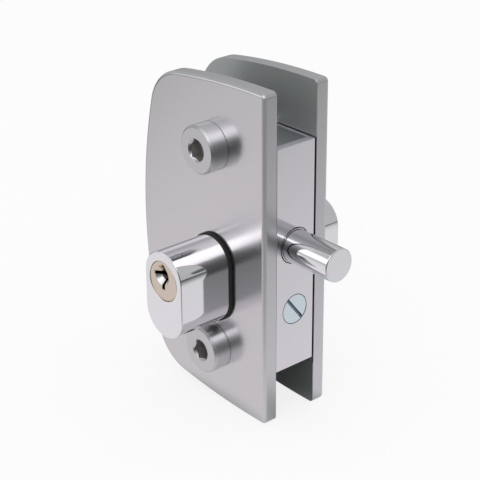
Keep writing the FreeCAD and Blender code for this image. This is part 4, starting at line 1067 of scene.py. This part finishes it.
class LOCK_OT_bolt(bpy.types.Operator):
    """Builds the polished round bolt with the flat under its shank."""
    bl_idname = "lock.bolt"
    bl_label = "Bolt"

    def execute(self, context):
        sizes = context.scene.lock_bolt
        back, tip = BOLT_X
        nose, shank = sizes.nose_radius, BOLT_Z[1]
        profile = [(0, back), (shank - BOLT_END_BREAK, back), (shank, back + BOLT_END_BREAK),
                   (shank, BOLT_STEP), (nose, BOLT_STEP)]
        profile += [(nose - inset, tip - drop) for inset, drop in quarter(sizes.tip_round, steps=6)]
        mesh = bmesh.new()
        spun(mesh, profile + [(0, tip)], steps=128)
        flatten(mesh, limit=0.999)
        moved(mesh, SWAP)
        bolt = to_object("round_bolt", mesh, "Polished chrome")
        low, high = (back - MM, -shank - MM, -shank - MM), (FLAT_END, shank + MM, FLAT_LEVEL)
        carve(bolt, "Flat cutter", lambda tool: block(tool, low, high))
        hand_over(bolt, "bolt_set", "chrome", "bolt")
        return {"FINISHED"}


# Faceplate

FACE_THICK, FACE_WIDER, BOLT_CLEARANCE, HOLE_LIP = 2.3 * MM, 0.12 * MM, 0.35 * MM, 0.12 * MM
SEAT_CLEARANCE, SCREW_HOLE, SEAT_LIP = 0.12 * MM, 2.65 * MM, 0.06 * MM
LUG_LEVEL, LUG_HALF, LUG_OVERLAP, INSET_SHARE = 5.7 * MM, 3 * MM, 0.2 * MM, 0.95


def face_rim(soft):
    """The faceplate's outline, built in (Y, Z), with softly rounded corners."""
    rim = []
    corners = ((1, 1), (0, 1), (0, 0), (1, 0))
    for index, (wide, high) in enumerate(corners):
        u = FACE_Y[wide] + math.copysign(FACE_WIDER, FACE_Y[wide])
        v = FACE_Z[high]
        centre = Vector((u - math.copysign(soft, u), v - math.copysign(soft, v)))
        start, end = math.pi / 2 * index, math.pi / 2 * (index + 1)
        outward = Vector((math.cos(end), math.sin(end)))
        rim += arc_run(centre, soft, start, end, steps=5) + [(centre + outward * soft, outward)]
    return rim


class LOCK_OT_faceplate(bpy.types.Operator):
    """Builds the faceplate with its bolt hole, screw seat and lugs."""
    bl_idname = "lock.faceplate"
    bl_label = "Faceplate"

    def execute(self, context):
        soft = context.scene.lock_bolt.edge_break
        back, front = FACE_X[1] - FACE_THICK, FACE_X[1]
        step = front - FIXING_HEAD_DEPTH
        rim, centre = face_rim(soft), (0, middle(FIXING_Z))
        edge = [ring_at(rim, 0, back)]
        edge += [ring_at(rim, inset * INSET_SHARE, front - drop) for inset, drop in quarter(soft, steps=5)]
        bolt_hole = rings_at(round_rim((0, 0), BOLT_Z[1] + BOLT_CLEARANCE),
                             (0, back), (0, front - HOLE_LIP), (-HOLE_LIP, front))
        sunk = rings_at(round_rim(centre, SCREW_HOLE), (0, back), (0, step))
        sunk += rings_at(round_rim(centre, FIXING_Y[1] + SEAT_CLEARANCE),
                         (0, step), (0, front - SEAT_LIP), (-SEAT_LIP, front))
        mesh = shell(edge, bolt_hole, sunk)
        moved(mesh, SWAP)
        for level in (FACE_Z[1] - LUG_LEVEL, FACE_Z[0] + LUG_LEVEL):
            block(mesh, (FACE_X[0], -LUG_HALF, level - LUG_HALF),
                  (back + LUG_OVERLAP, LUG_HALF, level + LUG_HALF), soft)
        plate = to_object("faceplate_strip", mesh, "Satin plating")
        hand_over(plate, "lock_body", "case_steel", "faceplate")
        return {"FINISHED"}


# Slotted screws

SHANK_BREAK, SLOT_OVERRUN, EASED_IN, EASED_DOWN = 0.3 * MM, 1.2, 0.35, 0.3
FIXING_SCREW = {"head": FIXING_Y[1], "thick": FIXING_HEAD_DEPTH, "bevel": 0.25 * MM, "shank": 2.5 * MM,
                "reach": 24 * MM, "slot": 1.1 * MM, "depth": 1.0 * MM}
COVER_SCREW = {"head": 2.5 * MM, "thick": 0.7 * MM, "bevel": 0.1 * MM, "shank": 1.5 * MM,
               "reach": 8 * MM, "slot": 0.6 * MM, "depth": 0.35 * MM}


def slotted(name, finish, head, thick, bevel, shank, reach, slot, depth):
    """A slotted screw along +Y, its face at nothing."""
    mesh = bmesh.new()
    spun(mesh, [(0, -reach), (shank - SHANK_BREAK, -reach), (shank, SHANK_BREAK - reach), (shank, -thick),
                (head, -thick), (head, -bevel), (head - bevel * EASED_IN, -bevel * EASED_DOWN),
                (head - bevel, 0), (0, 0)], steps=80)
    flatten(mesh, limit=0.95)
    screw = to_object(name, mesh, finish)
    low, high = (-head * SLOT_OVERRUN, -depth, -slot / 2), (head * SLOT_OVERRUN, MM, slot / 2)
    carve(screw, "Slot cutter", lambda tool: block(tool, low, high))
    return screw


class LOCK_OT_fixing_screw(bpy.types.Operator):
    """Builds the wide slotted screw that is sunk in the faceplate."""
    bl_idname = "lock.fixing_screw"
    bl_label = "Fixing screw"

    def execute(self, context):
        screw = slotted("slotted_fixing_screw", "Slotted zinc", **FIXING_SCREW)
        place = Matrix.Translation((FIXING_X[1], 0, middle(FIXING_Z)))
        upright = Matrix.Rotation(math.radians(-90), 4, "Z")
        spin = Matrix.Rotation(context.scene.lock_bolt.slot_turn - math.radians(90), 4, "X")
        screw.data.transform(place @ spin @ upright)
        hand_over(screw, "lock_body", "zinc", "fixing_screw")
        return {"FINISHED"}


class LOCK_OT_cover_screws(bpy.types.Operator):
    """Builds the four small slotted screws that hold the case's cover."""
    bl_idname = "lock.cover_screws"
    bl_label = "Cover screws"

    def execute(self, context):
        head = COVER_SCREW["head"]
        screws = slotted("slotted_cover_screws", "Bright zinc", **COVER_SCREW)
        grow(screws, corners_tree(), {
            "Wide": extent(COVER_X) - head * 2, "High": extent(COVER_Z) - head * 2,
            "Middle X": middle(COVER_X), "Face": COVER_Y[1], "Middle Z": middle(COVER_Z),
            "Seed": 4, "Finish": finish_for("Bright zinc"),
        })
        hand_over(screws, "lock_body", "zinc", "cover_screws")
        return {"FINISHED"}


# Pieces that stay as the CAD made them

INNER_FINISHES = {
    "case_steel": "Satin plating", "inner_steel": "Machined steel", "inner_brass": "Plain brass",
    "spring_steel": "Spring wire",
}
OWN_FINISHES = {
    "case": "Folded sheet", "front_pin_caps": "Polished chrome", "rear_pin_caps": "Polished chrome",
    "bolt_guide": "Machined steel",
}


class LOCK_OT_inner_works(bpy.types.Operator):
    """Gives the CAD pieces that stay in view their finishes: case, cover, cam, tail, pins and springs."""
    bl_idname = "lock.inner_works"
    bl_label = "Case and inner works"

    def execute(self, context):
        slots = {part["node"]: part["material_slot"] for part in frame["record"]["subparts"]}
        for name, piece in NODES.items():
            if piece.hide_render or slots[name] not in INNER_FINISHES:
                continue
            piece.data.materials.clear()
            piece.data.materials.append(finish_for(OWN_FINISHES.get(name, INNER_FINISHES[slots[name]])))
        return {"FINISHED"}


# Stage

EYE = Vector((0.29308, -0.27470, 0.18897))
RIGHT = Vector((0.65488, 0.75570, -0.00746))
UPWARD = Vector((-0.31459, 0.28157, 0.90651))
AHEAD = Vector((-0.68715, 0.59131, -0.42212))
LAMP_PLACE, LAMP_TARGET, LAMP_SIZE = (0.31, -0.445, 0.56), (-0.02, 0, 0), (0.50, 0.40)
SENSOR_WIDTH, CLIP_START, CLIP_END = 36.0, 0.01, 20.0
FLOOR_DROP, FLOOR_HALF, FLOOR_CUTS = 0.3 * MM, 2.0, 8
WHITE, PAPER = (1, 1, 1, 1), (0.82, 0.82, 0.82, 1)

# How much of a grey its red, green and blue get where it is dim and where it is bright
DIM_TO_BRIGHT = ((0.91, 1.0), (0.99, 0.98), (0.97, 1.0))

# What the metal mirrors by direction: the room, an overhead glow and a window, each with the range of
# its direction and (share of the range, brightness) pairs
ROOM_SIDE = (0.757, -0.653, 0)
MIRRORED = (
    (ROOM_SIDE, -1, ((0, 0.42), (0.035, 0.58), (0.1, 0.65), (0.40, 0.54), (0.605, 0.57), (0.80, 0.30),
                     (0.95, 0.17), (1, 0.13))),
    ((0.14, -0.591, 0.794), 0.6, ((0, 0), (0.25, 0.08), (0.46, 0.28), (0.75, 0.50), (0.935, 0.72),
                                  (1, 0.85))),
    ((-0.689, -0.659, 0.300), 0.945, ((0, 0), (0.45, 0.10), (0.75, 0.85), (1, 0.95))),
)

# An even scale from nearly black to white, from which only the hues are taken
EVEN_GREYS = [(part / 4, 0.01 + part / 4 * 0.99) for part in range(5)]

# The painted shadow under the lock: its middle, and how many times its half width and half depth go in a
# metre
PAINTED_SHADOW_MIDDLE, PAINTED_SHADOW_SCALE = (-0.028, 0, 0), (1 / 0.034, 1 / 0.012, 0)


def greys(tree, value, low, high, stops):
    """A smooth scale of greys, cool where dim and faintly lilac where bright, over a value's range."""
    ranged = node(tree, "ShaderNodeMapRange", {"Value": value, "From Min": low, "From Max": high})
    ramp = node(tree, "ShaderNodeValToRGB", {0: ranged.outputs[0]})
    elements = ramp.color_ramp.elements
    for index, (position, brightness) in enumerate(stops):
        stop = elements[index] if index < 2 else elements.new(position)
        grey = (brightness * (dim + (bright - dim) * brightness) for dim, bright in DIM_TO_BRIGHT)
        stop.position, stop.color = position, (*grey, 1)
    return ramp.outputs[0]


def studio_world():
    """White behind the object; in the metal a pale backdrop, two soft glows and a dim room in front."""
    world = bpy.data.worlds.new("Pale studio")
    bpy.context.scene.world = world
    world.use_nodes = True
    tree = world.node_tree
    place = node(tree, "ShaderNodeTexCoord").outputs["Generated"]
    light, *glows = [greys(tree, vectors(tree, "DOT_PRODUCT", place, way), low, 1, stops)
                     for way, low, stops in MIRRORED]
    for glow in glows:
        light = blended(tree, 1.0, light, glow, blend="ADD")
    glossy = node(tree, "ShaderNodeLightPath").outputs["Is Glossy Ray"]
    background = tree.nodes["Background"].inputs
    tree.links.new(blended(tree, glossy, WHITE, light), background["Color"])
    background["Strength"].default_value = 1.0


def floor_mirrored(tree):
    """What the metal mirrors of the floor: paper that fades away from the lock, with a painted shadow under
    it.
    """
    flat = vectors(tree, "MULTIPLY", node(tree, "ShaderNodeTexCoord").outputs["Object"], (1, 1, 0))
    ahead = vectors(tree, "DOT_PRODUCT", flat, ROOM_SIDE)
    sideways = vectors(tree, "DOT_PRODUCT", flat, (1, 0, 0))
    # The painted shadow under the lock, measured from its middle
    foot = vectors(tree, "MULTIPLY", vectors(tree, "SUBTRACT", flat, PAINTED_SHADOW_MIDDLE), PAINTED_SHADOW_SCALE)
    fades = (
        (vectors(tree, "LENGTH", flat), 0, 0.4, ((0, 0.93), (0.15, 0.93), (0.5, 0.92), (1, 0.86))),
        (ahead, 0, 0.25, ((0, 1), (0.12, 0.97), (0.27, 0.58), (0.40, 0.42), (0.64, 0.22), (1, 0.16))),
        (sideways, 0, 0.2, ((0, 1), (0.65, 0.86), (1, 0.80))),
        (vectors(tree, "LENGTH", foot), 0.6, 1.6, ((0, 0.12), (1, 1))),
        (ahead, -0.4, -0.06, ((0, 0.25), (0.55, 0.34), (1, 1))),
    )
    return product(tree, *(greys(tree, *fade) for fade in fades))


def floor_finish(shadow):
    """Pale paper: white to the eye, with a share of the object's shadow; in the metal it fades away, with a
    painted shadow under the lock.
    """
    material = bpy.data.materials.new("Pale floor")
    material.use_nodes = True
    tree = material.node_tree
    paper = tree.nodes["Principled BSDF"]
    for label, value in (("Base Color", PAPER), ("Roughness", 0.9), ("Specular IOR Level", 0.0)):
        paper.inputs[label].default_value = value
    rays = node(tree, "ShaderNodeLightPath").outputs
    strength = floor_mirrored(tree)
    tint = greys(tree, strength, 0, 1, EVEN_GREYS)
    hue = vectors(tree, "MULTIPLY", vectors(tree, "NORMALIZE", tint), (math.sqrt(3),) * 3)
    glossy = rays["Is Glossy Ray"]
    shine = blended(tree, glossy, 1.0, strength, colours=False)
    white = node(tree, "ShaderNodeEmission", {"Strength": shine, "Color": blended(tree, glossy, WHITE, hue)})
    seen = maths(tree, "MAXIMUM", rays["Is Camera Ray"], rays["Is Transmission Ray"])
    seen = maths(tree, "MAXIMUM", maths(tree, "MULTIPLY", seen, 1 - shadow), glossy)
    mix = node(tree, "ShaderNodeMixShader", {0: seen, 1: paper.outputs[0], 2: white.outputs[0]})
    tree.links.new(mix.outputs[0], tree.nodes["Material Output"].inputs["Surface"])
    return material


class LOCK_OT_studio(bpy.types.Operator):
    """Sets up the pale floor, the soft light, the white background and the camera."""
    bl_idname = "lock.studio"
    bl_label = "Studio"

    def execute(self, context):
        settings = context.scene.lock_studio
        context.scene.view_settings.view_transform = "Standard"
        camera = bpy.data.objects.new("Camera", bpy.data.cameras.new("Camera"))
        context.scene.collection.objects.link(camera)
        context.scene.camera = camera
        camera.data.sensor_width, camera.data.lens = SENSOR_WIDTH, settings.lens
        camera.data.clip_start, camera.data.clip_end = CLIP_START, CLIP_END
        columns = [(*RIGHT, 0), (*UPWARD, 0), (*-AHEAD, 0), (*EYE, 1)]
        camera.matrix_world = Matrix(columns).transposed()
        mesh = bmesh.new()
        bmesh.ops.create_grid(mesh, x_segments=FLOOR_CUTS, y_segments=FLOOR_CUTS, size=FLOOR_HALF)
        moved(mesh, Matrix.Translation((0, 0, PLATE_Z[0] - FLOOR_DROP)))
        floor = to_object("Floor", mesh)
        floor.data.materials.append(floor_finish(settings.shadow))
        studio_world()
        light = bpy.data.lights.new("Overhead soft light", "AREA")
        light.shape, light.energy = "RECTANGLE", settings.key_power
        light.size, light.size_y = LAMP_SIZE
        lamp = bpy.data.objects.new("Overhead soft light", light)
        lamp.location = LAMP_PLACE
        lamp.rotation_mode = "QUATERNION"
        lamp.rotation_quaternion = (Vector(LAMP_TARGET) - Vector(LAMP_PLACE)).to_track_quat("-Z", "Y")
        context.scene.collection.objects.link(lamp)
        return {"FINISHED"}


OPERATORS = (
    LOCK_OT_studio, LOCK_OT_clamp_plates, LOCK_OT_gaskets, LOCK_OT_clamp_heads, LOCK_OT_key_cylinders,
    LOCK_OT_plugs, LOCK_OT_bolt, LOCK_OT_faceplate, LOCK_OT_fixing_screw, LOCK_OT_cover_screws,
    LOCK_OT_inner_works,
)


class LOCK_PT_panel(bpy.types.Panel):
    """Lists the lock's pieces with their sizes and colours."""
    bl_idname = "LOCK_PT_panel"
    bl_label = "Glass Door Lock"
    bl_space_type = "VIEW_3D"
    bl_region_type = "UI"
    bl_category = "Door Lock"

    def draw(self, context):
        for operator in OPERATORS:
            self.layout.operator(operator.bl_idname)
        for name in GROUPS:
            box = self.layout.box()
            settings = getattr(context.scene, name)
            for label in settings.__annotations__:
                box.prop(settings, label)


CLASSES = (*GROUPS.values(), *OPERATORS, LOCK_PT_panel)


def register():
    for item in CLASSES:
        bpy.utils.register_class(item)
    for name, group in GROUPS.items():
        setattr(bpy.types.Scene, name, PointerProperty(type=group))


def unregister():
    for name in GROUPS:
        delattr(bpy.types.Scene, name)
    for item in reversed(CLASSES):
        bpy.utils.unregister_class(item)


def main():
    register()
    for operator in OPERATORS:
        family, name = operator.bl_idname.split(".")
        getattr(getattr(bpy.ops, family), name)()
    bpy.context.view_layer.update()


if __name__ == "__main__":
    main()
